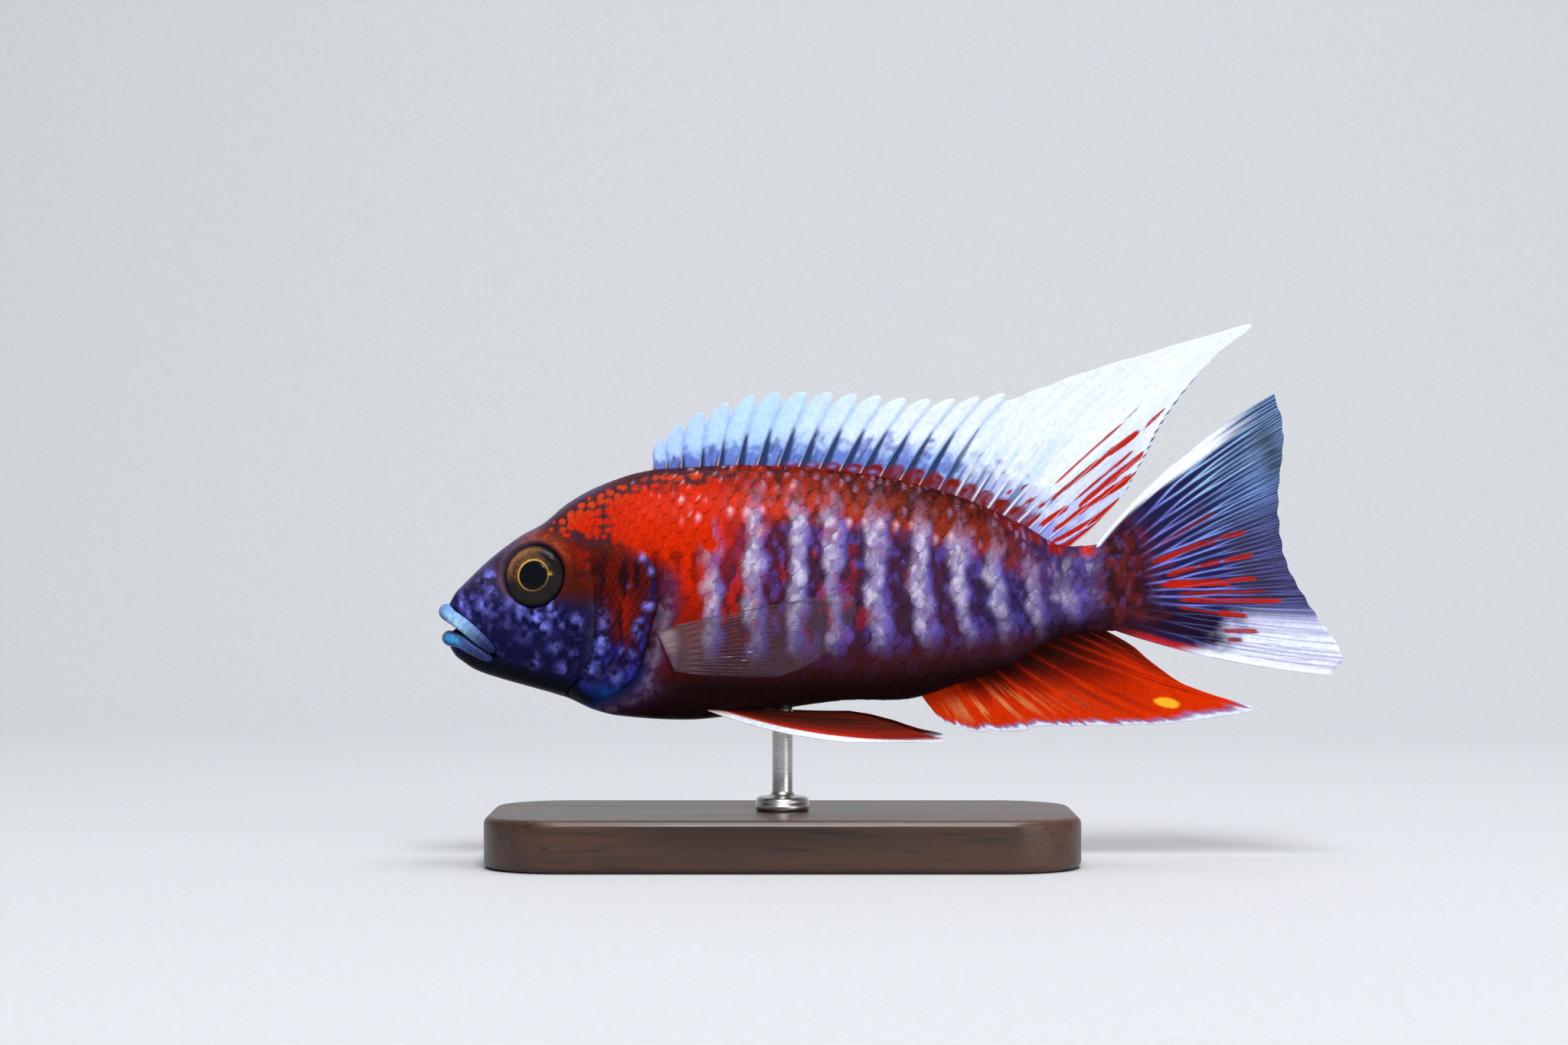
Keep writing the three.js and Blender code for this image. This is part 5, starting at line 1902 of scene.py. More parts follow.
@dataclass
class Eye:
    """One eye: the ball with its iris and pupil, and the clear cornea over it."""

    body: Body
    sizes: EyeSizes
    side: Side
    around: int = 96
    rings: int = 60
    grain: Grain = field(default_factory=lambda: Grain(71))

    def set_in_head(self, radius: Array, turn: Array, height: Array) -> Array:
        """Places points that are given about the eye's axis.

        Args:
            radius: How far from the axis.
            turn: The angle round it, 0 towards the tail and a quarter turn at the top.
            height: How far out along it.

        Returns:
            The points in the fish's frame.
        """
        middle, out = self.body.on_skin(self.sizes.s, self.sizes.h)
        middle = middle - out * self.sizes.sunk
        back = unit(np.array([1.0, 0.0, 0.0]) - out[0] * out)
        up = np.cross(back, out)
        up = up * np.sign(up[2])
        points = (
            middle
            + back * (radius * np.cos(turn))[..., None]
            + up * (radius * np.sin(turn))[..., None]
            + out * height[..., None]
        )
        return points * np.array([1.0, self.side.value, 1.0])

    def dome(self, name: str, radius: Array, height: Array) -> tuple[bpy.types.Object, Array, Array]:
        """A closed round shape about the eye's axis.

        Args:
            name: The object's name.
            radius: The profile's radii, from the back point to the front one.
            height: The profile's heights.

        Returns:
            The object, and each point's radius and turn.
        """
        turn = circle(self.around)
        r, a = np.meshgrid(radius[1:-1], turn, indexing="ij")
        z = np.broadcast_to(height[1:-1, None], r.shape)
        ends = self.set_in_head(np.zeros(2), np.zeros(2), height[[0, -1]])
        made = make_tube(name, at_place(self.set_in_head(r, a, z)), at_place(ends))
        return made, np.concatenate([r.ravel(), [0.0, 0.0]]), np.concatenate([a.ravel(), [0.0, 0.0]])

    def colour(self, r: Array, turn: Array) -> Array:
        """The colours of iris and pupil.

        Args:
            r: How far from the eye's axis.
            turn: The angle round it.

        Returns:
            The colours.
        """
        pupil = self.sizes.pupil
        # toward: how far a place lies towards the upper front, where the tan and gold grow stronger: partly the
        # iris's own colour, partly a painted sheen where the light falls
        toward = np.cos(turn - math.radians(125))
        fibres = self.grain.layered(turn * 9, r * 0.9)
        fine = self.grain.layered(np.cos(turn) * r * 2.2, np.sin(turn) * r * 2.2)
        lower = near(turn, math.radians(-40), 0.45) * near(r, 3.6, 0.6)
        glow = near(r, 4.2, 0.34) * soft(0.55, 1.0, toward)
        ring = near(r, pupil + 0.15, 0.09 + 0.03 * toward)
        spike = near(turn, 0.0, 0.14) * near(r, pupil + 0.4, 0.34)
        return paint(
            Hue.IRIS_OLIVE,
            (Hue.IRIS_TAN, soft(0.25, 1.0, toward) * near(r, 3.95, 0.8) * (0.45 + 0.6 * fibres)),
            (Hue.IRIS_TAN, lower * soft(0.4, 0.7, fine) * 0.45),
            (Hue.IRIS_TAN, near(r, pupil + 0.45, 0.4) * (0.14 + 0.36 * toward) * (0.4 + 0.8 * fibres)),
            (Hue.IRIS_DARK, soft(0.5, 0.75, fine) * 0.6),
            (Hue.IRIS_DARK, near(turn, math.radians(40), 0.6) * soft(2.9, 3.6, r) * 0.85),
            # painted reflection: a pale grey arc high on the iris, on the tail's side
            (Hue.IRIS_GREY, near(turn, math.radians(62), 0.36) * near(r, 4.1, 0.24) * 0.5),
            (Hue.IRIS_TAN, glow * 0.9),
            (Hue.IRIS_DARK, soft(4.15, 4.6, r) * (0.85 - 0.5 * glow)),
            (Hue.IRIS_RING, ring * (0.62 + 0.33 * toward) * (0.7 + 0.5 * fibres)),
            (Hue.IRIS_RING, spike * 0.6),
            (Hue.PUPIL, soft(pupil + 0.06, pupil - 0.06, r)),
        )

    def build(self, flesh: bpy.types.Material, clear: bpy.types.Material) -> None:
        """Makes the eye.

        Args:
            flesh: The ball's material.
            clear: The cornea's material.
        """
        size = self.sizes
        back = np.linspace(-math.pi / 2, 0, 16)[:-1]
        hidden_r, hidden_z = size.radius * np.cos(back), size.depth * np.sin(back)
        front_r = size.radius * np.sin(np.linspace(math.pi / 2, 0, self.rings))
        iris = 0.1 + 0.42 * (1 - (front_r / size.radius) ** 2)
        lens = 0.34 * quarter_round(1 - front_r / (size.pupil - 0.02)) * (front_r < size.pupil)
        lip_ring = 0.07 * near(front_r, size.pupil + 0.18, 0.2)
        radius = np.concatenate([hidden_r, front_r])
        height = np.concatenate([hidden_z, iris + lens + lip_ring])
        ball, r, turn = self.dome(f"eyeball_{self.side.word}", radius, height)
        in_front = np.concatenate([np.repeat(height[1:-1], self.around), [-1.0, 1.0]]) > 0
        set_tint(ball, np.where(in_front[:, None], self.colour(r, turn), Hue.IRIS_DARK.light))
        enrol(ball, "eye", f"eye_{self.side.word}", finish=flesh)
        rim, crown = size.radius + 0.12, 1.32 * size.bulge
        arc = np.linspace(math.pi / 2, 0, 24)
        cap_r, cap_z = rim * np.sin(arc), 0.12 + (crown - 0.12) * np.cos(arc) ** 0.9
        under_r = rim * 0.985 * np.sin(arc[::-1])
        under_z = 0.06 + (crown - 0.14) * np.cos(arc[::-1]) ** 0.9
        cornea, r, _ = self.dome(
            f"cornea_{self.side.word}", np.concatenate([under_r, cap_r]), np.concatenate([under_z, cap_z])
        )
        enrol(cornea, "eye", finish=clear)


class FinShape:
    """A fin drawn by its rays: root, tip and bow, for any place between them."""

    def __init__(self, *rows: tuple) -> None:
        """Takes the fin's table.

        Args:
            rows: For some rays, the ray's number, its root, its tip, and how far its middle stands off a line.
        """
        self.rays = int(rows[-1][0])
        self.root = [Curve(*((row[0], row[1][k]) for row in rows)) for k in range(3)]
        self.tip = [Curve(*((row[0], row[2][k]) for row in rows)) for k in range(3)]
        self.bow = Curve(*((row[0], row[3]) for row in rows))

    def at(self, u: Array, t: Array, reach: Array | float = 0.0) -> Array:
        """Points of the fin.

        Args:
            u: The place along the fin, counted in rays.
            t: The share of the way from root to tip.
            reach: How much longer the fin is there than its ray.

        Returns:
            The points.
        """
        root = np.stack([f(u) for f in self.root], axis=-1)
        line = np.stack([f(u) for f in self.tip], axis=-1) - root
        length = np.linalg.norm(line, axis=-1)
        line = line * ((length + reach) / length)[..., None]
        off = unit(np.stack([-line[..., 2], np.zeros_like(length), line[..., 0]], axis=-1))
        bow = 4 * self.bow(u) * t * (1 - t)
        return root + line * np.asarray(t)[..., None] + off * bow[..., None]


LOBE_HEIGHT = Curve((0, 1.6), (1, 1.9), (4, 2.8), (8, 2.6), (12, 2.2), (15, 1.8))
LOBE_OUTLINE = Curve(
    (0, 0), (0.1, 0.3), (0.32, 0.72), (0.56, 0.97), (0.72, 1), (0.86, 0.88), (0.95, 0.56), (1, 0),
)
FRONT_LOBE = Curve((0, 0), (0.1, 0.42), (0.28, 0.84), (0.48, 1), (0.68, 0.94), (0.86, 0.66), (1, 0))
SCALLOP = 0.25  # how far a fin's edge draws in between two soft rays

DORSAL = FinShape(
    (0, (33.2, 0, 13.8), (33.6, 0, 18.9), -0.3),
    (1, (35.5, 0, 13.9), (35.6, 0, 20.0), -0.2),
    (2, (37.9, 0, 14.2), (38.6, 0.1, 22.1), 0),
    (3, (40.6, 0, 14.4), (42.0, 0.2, 23.3), 0),
    (5, (46.2, 0, 14.6), (49.6, 0.4, 25.6), 0.2),
    (8, (55.6, 0, 14.4), (61.3, 0.4, 26.1), 0.3),
    (12, (68.0, 0, 12.9), (76.6, -0.2, 25.6), 0.5),
    (15, (77.2, 0, 10.9), (88.4, -0.8, 27.0), 0.7),
    (16, (79.8, 0, 9.9), (93.4, -1.1, 28.8), 0.9),
    (17, (82.3, 0, 9.0), (98.8, -1.4, 30.8), 1.0),
    (18, (84.7, 0, 8.1), (106.0, -1.8, 33.1), 1.1),
    (19, (87.0, 0, 7.2), (115.6, -2.2, 35.9), 1.2),
    (20, (89.1, 0, 6.3), (127.1, -2.8, 39.0), 1.2),
    (21, (90.9, 0, 5.4), (121.4, -2.4, 33.9), 0.6),
    (22, (92.3, 0, 4.6), (114.7, -1.9, 25.7), 0.2),
    (23, (93.5, 0, 3.9), (111.0, -1.5, 19.0), -0.3),
    (24, (94.4, 0, 3.4), (107.6, -1.1, 12.8), -0.8),
    (25, (95.1, 0, 2.8), (103.6, -0.6, 8.6), -0.9),
)
ANAL = FinShape(
    (0, (74.6, 0, -16.8), (78.9, 0.1, -22.8), -0.2),
    (1, (77.2, 0, -16.2), (81.7, 0.2, -23.7), -0.2),
    (2, (79.9, 0, -15.2), (86.2, 0.4, -24.3), -0.2),
    (3, (82.7, 0, -14.2), (92.8, 0.6, -24.0), -0.3),
    (4, (85.5, 0, -13.2), (99.4, 0.8, -23.9), -0.4),
    (5, (88.1, 0, -12.2), (106.6, 1.0, -23.8), -0.5),
    (6, (90.6, 0, -11.0), (115.2, 1.3, -23.5), -0.6),
    (7, (92.9, 0, -9.8), (128.0, 1.8, -21.5), -0.8),
    (8, (95.1, 0, -8.9), (122.2, 1.6, -19.2), -0.4),
    (9, (97.1, 0, -8.1), (117.6, 1.3, -17.6), 0),
    (10, (99.0, 0, -7.6), (113.4, 1.0, -14.9), 0.2),
    (11, (100.8, 0, -7.3), (109.4, 0.7, -11.6), 0.3),
)
CAUDAL = FinShape(
    (0, (102.6, 0, 3.6), (131.5, 3.2, 28.4), 2.0),
    (1, (104.5, 0, 2.9), (132.6, 2.7, 24.8), 1.3),
    (2, (105.6, 0, 2.0), (132.9, 2.2, 21.4), 1.0),
    (5, (107.0, 0, -0.2), (131.9, 0.9, 11.4), 0.4),
    (8, (107.4, 0, -2.2), (133.0, -0.3, 2.0), 0),
    (11, (107.0, 0, -4.0), (137.3, -1.5, -6.0), -0.3),
    (13, (105.8, 0, -5.6), (140.6, -2.3, -10.8), -0.7),
    (14, (104.8, 0, -6.6), (141.4, -2.7, -13.3), -1.0),
    (15, (103.0, 0, -7.6), (139.5, -2.9, -15.7), -1.3),
)
PELVIC = FinShape(
    (0, (40.6, -3.4, -20.4), (63.5, -6.8, -25.9), -0.9),
    (1, (41.2, -3.0, -20.3), (79.0, -8.2, -25.7), -1.9),
    (2, (41.7, -2.6, -20.3), (75.4, -7.2, -24.5), -1.4),
    (3, (42.2, -2.2, -20.3), (71.6, -6.0, -23.2), -0.9),
    (4, (42.6, -1.8, -20.4), (68.0, -4.7, -22.2), -0.5),
    (5, (43.0, -1.4, -20.5), (64.6, -3.4, -21.6), -0.3),
)
PECTORAL = FinShape(
    (0, (34.6, -7.3, -8.7), (58.0, -11.6, -4.0), 0.5),
    (1, (34.9, -7.3, -9.5), (63.8, -12.3, -2.7), 0.5),
    (3, (35.5, -7.2, -10.9), (65.4, -12.9, -5.4), 0.5),
    (5, (36.1, -7.0, -12.3), (63.2, -12.9, -9.6), 0.2),
    (7, (36.7, -6.7, -13.7), (58.8, -11.9, -13.3), 0),
    (9, (37.2, -6.5, -14.9), (53.8, -10.9, -15.6), -0.4),
)


@dataclass(frozen=True)
class Streak:
    """A long coloured patch that lies between two rays."""

    u: float
    t: float
    end_u: float
    end_t: float
    half: float
    strength: float = 1.0

    def share(self, u: Array, t: Array, spacing: Array, waver: Array) -> Array:
        """How much of the patch each place has.

        Args:
            u: The places along the fin, in rays.
            t: The share of the way from root to tip.
            spacing: Millimetres from ray to ray.
            waver: Noise from 0 to 1 that makes the border uneven.

        Returns:
            The shares.
        """
        way = (t - self.t) / (self.end_t - self.t)
        middle = self.u + (self.end_u - self.u) * np.clip(way, 0.0, 1.0)
        away = np.abs(u - middle) * spacing / self.half
        ends = np.maximum(np.abs(way - 0.5) * 2.0, 0.0) ** 4
        return self.strength * soft(1.25, 0.8, np.hypot(away, ends) + 0.95 * (waver - 0.5))


DORSAL_STREAKS = tuple(Streak(*row) for row in (
    (19.95, 0.22, 19.95, 0.5, 0.18, 0.85), (19.9, 0.52, 19.85, 0.58, 0.11, 0.5),
    (20.6, 0.17, 21.72, 0.74, 0.29), (21.62, 0.77, 21.7, 0.88, 0.23, 0.85),
    (22.1, 0.33, 22.36, 0.8, 0.2, 0.8), (21.5, 0.1, 22.2, 0.3, 0.34), (22.6, 0.38, 22.85, 0.95, 0.37),
    (22.75, 0.18, 23.45, 0.98, 0.34), (23.6, 0.14, 24.1, 0.95, 0.31), (24.35, 0.1, 24.6, 0.97, 0.29),
    (24.85, 0.06, 24.9, 0.9, 0.2), (20.55, 0.04, 20.9, 0.12, 0.34), (19.5, 0.12, 19.6, 0.15, 0.27, 0.8),
    (18.4, 0.16, 18.45, 0.19, 0.27, 0.8), (18.85, 0.2, 18.9, 0.225, 0.24, 0.7),
    (20.3, 0.13, 20.5, 0.16, 0.27, 0.9),
))
TAIL_STREAKS = tuple(Streak(*row) for row in (
    (4.05, 0.26, 3.95, 0.6, 0.42, 0.4), (3.2, 0.3, 3.0, 0.55, 0.3, 0.2), (5.42, 0.2, 5.75, 0.6, 0.4),
    (5.72, 0.62, 5.9, 0.79, 0.36, 0.9), (7.35, 0.28, 7.27, 0.47, 0.4), (7.25, 0.485, 7.22, 0.615, 0.42),
    (7.25, 0.63, 7.3, 0.81, 0.4), (8.4, 0.24, 8.85, 0.62, 0.6), (8.7, 0.62, 8.66, 0.79, 0.36, 0.8),
    (9.6, 0.3, 9.6, 0.82, 0.26, 0.55), (10.35, 0.32, 10.25, 0.86, 0.4), (11.25, 0.3, 11.5, 0.5, 0.22, 0.55),
    (11.5, 0.5, 11.5, 0.64, 0.44, 0.95), (12.95, 0.5, 12.65, 0.66, 0.34, 0.8),
    (13.6, 0.52, 13.5, 0.58, 0.4, 0.6), (6.4, 0.22, 6.4, 0.34, 0.3, 0.35),
))


@dataclass
class Fin:
    """A fin: a fine skin with its colours, and its rays as tapered tubes that part towards the edge."""

    name: str
    nodes: tuple[str, ...]
    slot: str
    shape: FinShape
    mirror: float = 1.0
    spines: int = 0
    per_ray: int = 20
    rows: int = 64
    coarse_until: int = 0
    root_half: float = 0.13
    edge_half: float = 0.03
    spine_radius: float = 0.2
    ray_radius: float = 0.17
    forks: tuple[tuple[float, float], ...] = ((0.42, 0.22), (0.68, 0.11))
    parting: float = 0.22
    ray_start: float = 0.0
    coarse_per_ray: int = 14
    spine_points: int = 40
    ray_points: int = 22
    branch_points: int = 14
    joint: float = 0.08
    spine_taper: float = 0.72
    ray_taper: float = 0.68
    thinner: float = 0.88
    grain: Grain = field(default_factory=lambda: Grain(91))

    def reach(self, u: Array) -> Array:
        """How much longer the fin is than its ray, which is less between soft rays."""
        return -SCALLOP * np.sin(math.pi * u) ** 2 * (0.6 + 0.8 * self.grain(u * 2.3))

    def twig(self, u: Array, t: Array) -> Array:
        """How far each place lies from the nearest branch of a ray, in rays.

        Args:
            u: The places along the fin, in rays.
            t: The share of the way from root to tip.

        Returns:
            The distances.
        """
        ray = np.round(u)
        away = np.abs(u - ray)
        for level in range(len(self.forks)):
            away = np.abs(away - self.parted(ray, level, t))
        return away

    def parted(self, ray: Array, level: int, t: Array) -> Array:
        """How far a ray's branches stand aside at a fork, in rays; no two rays fork at the same place.

        Args:
            ray: The rays' numbers.
            level: Which fork it is, from the root.
            t: The share of the way from root to tip.

        Returns:
            The distances.
        """
        fork, part = self.forks[level]
        chance = self.grain(ray * 7.31 + 3.7 * level) - 0.5
        start = fork + 0.16 * chance
        return part * (1 + 0.3 * chance) * soft(start, start + self.parting, t)

    def spacing(self, u: Array, t: Array) -> Array:
        """Millimetres straight across from ray to ray at places on the fin.

        Args:
            u: The places along the fin, in rays.
            t: The share of the way from root to tip.

        Returns:
            The distances.
        """
        step = 0.1
        apart = self.at(np.minimum(u + step, self.shape.rays), t) - self.at(np.maximum(u - step, 0), t)
        ahead = unit(self.at(u, t + 0.02) - self.at(u, t - 0.02))
        return np.linalg.norm(np.cross(apart, ahead), axis=-1) / (2 * step)

    def streaked(self, streaks: tuple[Streak, ...], u: Array, t: Array) -> Array:
        """How much of any of the streaks each place has."""
        spacing, waver = self.spacing(u, t), self.grain.layered(u * 5.0, t * 16.0)
        return np.max([streak.share(u, t, spacing, waver) for streak in streaks], axis=0)

    def colour(self, u: Array, t: Array, points: Array) -> Array:
        """The colours of the fin's skin.

        Args:
            u: The places along the fin, in rays.
            t: The share of the way from root to tip.
            points: Where they are, in the fish's frame.

        Returns:
            The colours.
        """
        raise NotImplementedError

    def ray_colour(self, u: Array, t: Array, points: Array) -> Array:
        """The colours of the rays."""
        return self.colour(u, t, points)

    def cover(self, u: Array, t: Array) -> Array | float:
        """How opaque the fin's skin is."""
        return 1.0

    def ray_cover(self, u: Array, t: Array) -> Array | float:
        """How opaque the rays are."""
        return 1.0

    def half(self, u: Array, t: Array) -> Array:
        """Half the thickness of the fin's skin."""
        return self.root_half + (self.edge_half - self.root_half) * t**0.7

    def at(self, u: Array, t: Array) -> Array:
        """Points of the fin on its own side of the fish."""
        return self.shape.at(u, t, self.reach(u)) * np.array([1.0, self.mirror, 1.0])

    def vane(self, finish: bpy.types.Material) -> bpy.types.Object:
        """Makes the fin's skin.

        Args:
            finish: Its material.

        Returns:
            The fin's skin.
        """
        coarse_count = self.coarse_until * self.coarse_per_ray
        coarse = np.linspace(0, self.coarse_until, coarse_count, endpoint=False)
        fine = self.shape.rays - self.coarse_until
        fine_line = np.linspace(self.coarse_until, self.shape.rays, fine * self.per_ray + 1)
        u_line = np.append(coarse, fine_line)
        t_line = np.linspace(0, 1, self.rows)
        u, t = np.meshgrid(u_line, t_line, indexing="ij")
        points = self.at(u, t)
        across = np.gradient(points, axis=0)
        out = np.gradient(points, axis=1)
        normal = unit(np.cross(across, out)) * self.half(u, t)[..., None]
        both = np.concatenate([(points + normal).reshape(-1, 3), (points - normal).reshape(-1, 3)])
        made = make_mesh(self.name, at_place(both), plate_faces(len(u_line), len(t_line)))
        colours = self.colour(u.ravel(), t.ravel(), points.reshape(-1, 3))
        cover = np.broadcast_to(self.cover(u.ravel(), t.ravel()), len(colours))
        set_tint(made, np.concatenate([colours, colours]), np.concatenate([cover, cover]))
        enrol(made, self.slot, *self.nodes, finish=finish)
        return made

    def lines(self) -> list[tuple[Array, Array, Array]]:
        """The rays' lines, each as its places along the fin, its shares of the way out, and its radii.

        Returns:
            The lines.
        """
        found = []
        stops = [self.ray_start, *(max(fork - self.joint, self.ray_start) for fork, _ in self.forks), 1.0]
        for ray in range(self.shape.rays + 1):
            if ray < self.spines:
                t = np.linspace(0, 1, self.spine_points)
                found.append((np.full_like(t, ray), t, self.spine_radius * (1 - self.spine_taper * t)))
                continue
            for level, (start, end) in enumerate(zip(stops[:-1], stops[1:])):
                count = self.branch_points if level else self.ray_points
                t = np.linspace(start, min(end + self.joint, 1.0), count)
                for signs in itertools.product((-1, 1), repeat=level):
                    parts = [way * self.parted(np.full_like(t, ray), k, t) for k, way in enumerate(signs)]
                    u = np.clip(ray + sum(parts) + 0 * t, max(self.spines, 0.01), self.shape.rays - 0.01)
                    found.append((u, t, self.ray_radius * (1 - self.ray_taper * t) * self.thinner**level))
        return found

    def rays(self, tree: bpy.types.NodeTree, finish: bpy.types.Material, sides: int = 6) -> bpy.types.Object:
        """The fin's rays, grown along their lines.

        Args:
            tree: The tree that turns lines into tubes.
            finish: Their material.
            sides: How many sides a ray has.

        Returns:
            The rays.
        """
        lines = self.lines()
        u, t, radius = (np.concatenate([line[k] for line in lines]) for k in range(3))
        points = self.at(u, t)
        values = {"radius_mm": radius, "u": u, "t": t}
        seedling = seed_points("ray_lines", at_place(points), values, [len(line[0]) for line in lines])
        inputs = {"Sides": sides, "Thickness": MILLIMETRE, "Material": finish}
        made = grow(seedling, tree, inputs, f"{self.name}_rays")
        u, t = numbers_of(made.data, "u"), numbers_of(made.data, "t")
        set_tint(made, self.ray_colour(u, t, self.at(u, t)), self.ray_cover(u, t))
        enrol(made, self.slot)
        return made


@dataclass
class DorsalFin(Fin):
    """The dorsal fin: spines with their lobes in front, soft rays drawn out to a point behind."""

    name: str = "dorsal_vane"
    nodes: tuple[str, ...] = ("dorsal_fin",)
    slot: str = "pale_fin"
    shape: FinShape = DORSAL
    spines: int = 15
    per_ray: int = 36
    rows: int = 76
    coarse_until: int = 17

    def reach(self, u: Array) -> Array:
        """Adds the lobes between the spines, rounder in front.

        Args:
            u: The places along the fin, in rays.

        Returns:
            How much longer the fin is than its ray.
        """
        between = u - np.floor(u)
        outline = FRONT_LOBE(between) + (LOBE_OUTLINE(between) - FRONT_LOBE(between)) * soft(2.0, 7.0, u)
        return np.where(u < self.spines, LOBE_HEIGHT(u) * outline, super().reach(u))

    def colour(self, u: Array, t: Array, points: Array) -> Array:
        """Ice blue lobes with dark wedges and red blocks at the back, white behind, with long red streaks.

        Args:
            u: The places along the fin, in rays.
            t: The share of the way from root to tip.
            points: Where they are, in the fish's frame.

        Returns:
            The colours.
        """
        s, h = points[:, 0], points[:, 2]
        between = u - np.floor(u)
        above = h - BACK(s)
        spiny = soft(16.4, 14.6, u)
        speck = self.grain.layered(s * 0.9, h * 0.9)
        fine = self.grain.layered(u * 9.0, t * 14.0)
        threads = self.grain.layered(u * 7.0, t * 1.6)
        edges = near(between, 0.0, 0.16) + near(between, 1.0, 0.12)
        heart = soft(0.25, 0.6, t + 0.3 * (threads - 0.5)) * (0.3 + 0.65 * soft(5, 13, u))
        heart = heart * (1 - 0.5 * edges * spiny)
        zone = 1.7 + 0.3 * np.minimum(u, 14.0) + 1.2 * soft(15.0, 18.0, u) - 2.6 * soft(19.0, 22.0, u)
        violet = soft(1.25, 0.6, above / zone + 1.5 * (speck - 0.5) + 0.5 * (between - 0.5) * spiny)
        shown = (0.72 - 0.1 * soft(13, 17, u)) * soft(0.2, 0.5, fine + 0.2)
        shown = shown * (1 - 0.4 * (1 - spiny) * soft(0.3, 0.9, above / zone))
        reach = (0.34 + 0.2 * soft(2, 7, u)) * np.clip(1 - t / (0.56 + 0.16 * soft(2, 7, u)), 0.0, 1.0) ** 0.8
        wedge = soft(reach + 0.08, reach - 0.04, between + 0.1 * (threads - 0.5)) * soft(0.0, 0.03, reach)
        apart = np.minimum(between, 1 - between) * self.spacing(u, t)
        bare = (1 - spiny) * soft(7.5, 3.0, above) * soft(21.5, 19.0, u)
        shadow = near(between * self.spacing(u, t), 0.42, 0.2) * bare
        block = 0.6 + 2.1 * soft(7.0, 15.0, u) - 1.4 * (2 * np.abs(between - 0.56)) ** 3
        red = soft(block + 0.35, block - 0.15, above + 0.7 * (speck - 0.5))
        red = red * soft(6.4, 8.0, u) * soft(21.5, 20.0, u)
        red = red * (1 - (1 - spiny) * near(apart, 0.0, 0.2)) * soft(0.04, 0.16, between)
        dot = near(between, 0.55, 0.16) * near(above, 0.55, 0.3) * soft(6.6, 7.4, u) * soft(12.2, 11.4, u)
        lilac = soft(20.5, 22.6, u) * soft(0.95, 0.6, t - 0.25 * soft(22, 25, u))
        streaks = self.streaked(DORSAL_STREAKS, u, t)
        margin = soft(0.955, 0.975, t) * soft(20.9, 21.6, u)
        colour = paint(
            Hue.FIN_ICE,
            (Hue.FIN_SKY, spiny * (0.7 * edges + 0.6 * soft(0.62, 0.3, t) + 0.4 * soft(5.0, 1.0, u))),
            (Hue.FIN_WHITE, np.maximum(heart * 0.9, (1 - spiny) * (0.94 - 0.35 * soft(0.46, 0.62, threads)))),
            (Hue.FIN_BLUE, violet * shown),
            (Hue.FIN_SLATE, violet * soft(0.5, 0.7, threads) * 0.6),
            (Hue.FIN_SLATE, wedge * spiny * 0.98),
            (Hue.FIN_SLATE, shadow * 0.75),
            (Hue.FIN_WHITE, near(apart, 0.0, 0.16) * bare * 0.9),
            (Hue.FIN_BRICK, red * (0.8 + 0.2 * soft(0.4, 0.6, speck))),
            (Hue.FIN_LILAC, dot * 0.85),
            (Hue.FIN_LILAC, lilac * (0.25 + 0.45 * threads)),
            (Hue.FIN_BRICK, soft(0.1, 0.7, streaks) * 0.9),
            (Hue.FIN_RED, soft(0.35, 1.0, streaks) * soft(0.8, 0.5, threads)),
            (Hue.FIN_SLATE, margin * 0.9),
            (Hue.FIN_WHITE, margin * soft(0.1, 0.5, np.sin(u * 31.0 + 2.0 * threads)) * 0.95),
        )
        return colour * (0.9 + 0.2 * fine)[..., None]

    def ray_colour(self, u: Array, t: Array, points: Array) -> Array:
        """Pale rays, cream where the spines leave the back.

        Args:
            u: The places along the fin, in rays.
            t: The share of the way from root to tip.
            points: Where they are, in the fish's frame.

        Returns:
            The colours.
        """
        above = points[:, 2] - BACK(points[:, 0])
        spiny = soft(16.4, 14.6, u)
        return paint(
            self.colour(u, t, points),
            (Hue.FIN_WHITE, 0.35 + 0.45 * soft(4.0, 1.5, above) * soft(0.2, 0.8, above)),
            (Hue.FIN_STEEL, spiny * soft(0.9, 0.4, t) * 0.8),
            (Hue.FIN_SKY, spiny * soft(0.5, 0.9, t) * 0.6),
            (Hue.FIN_CREAM, soft(1.3, 0.4, above) * soft(19.5, 16.0, u) * 0.9),
        )


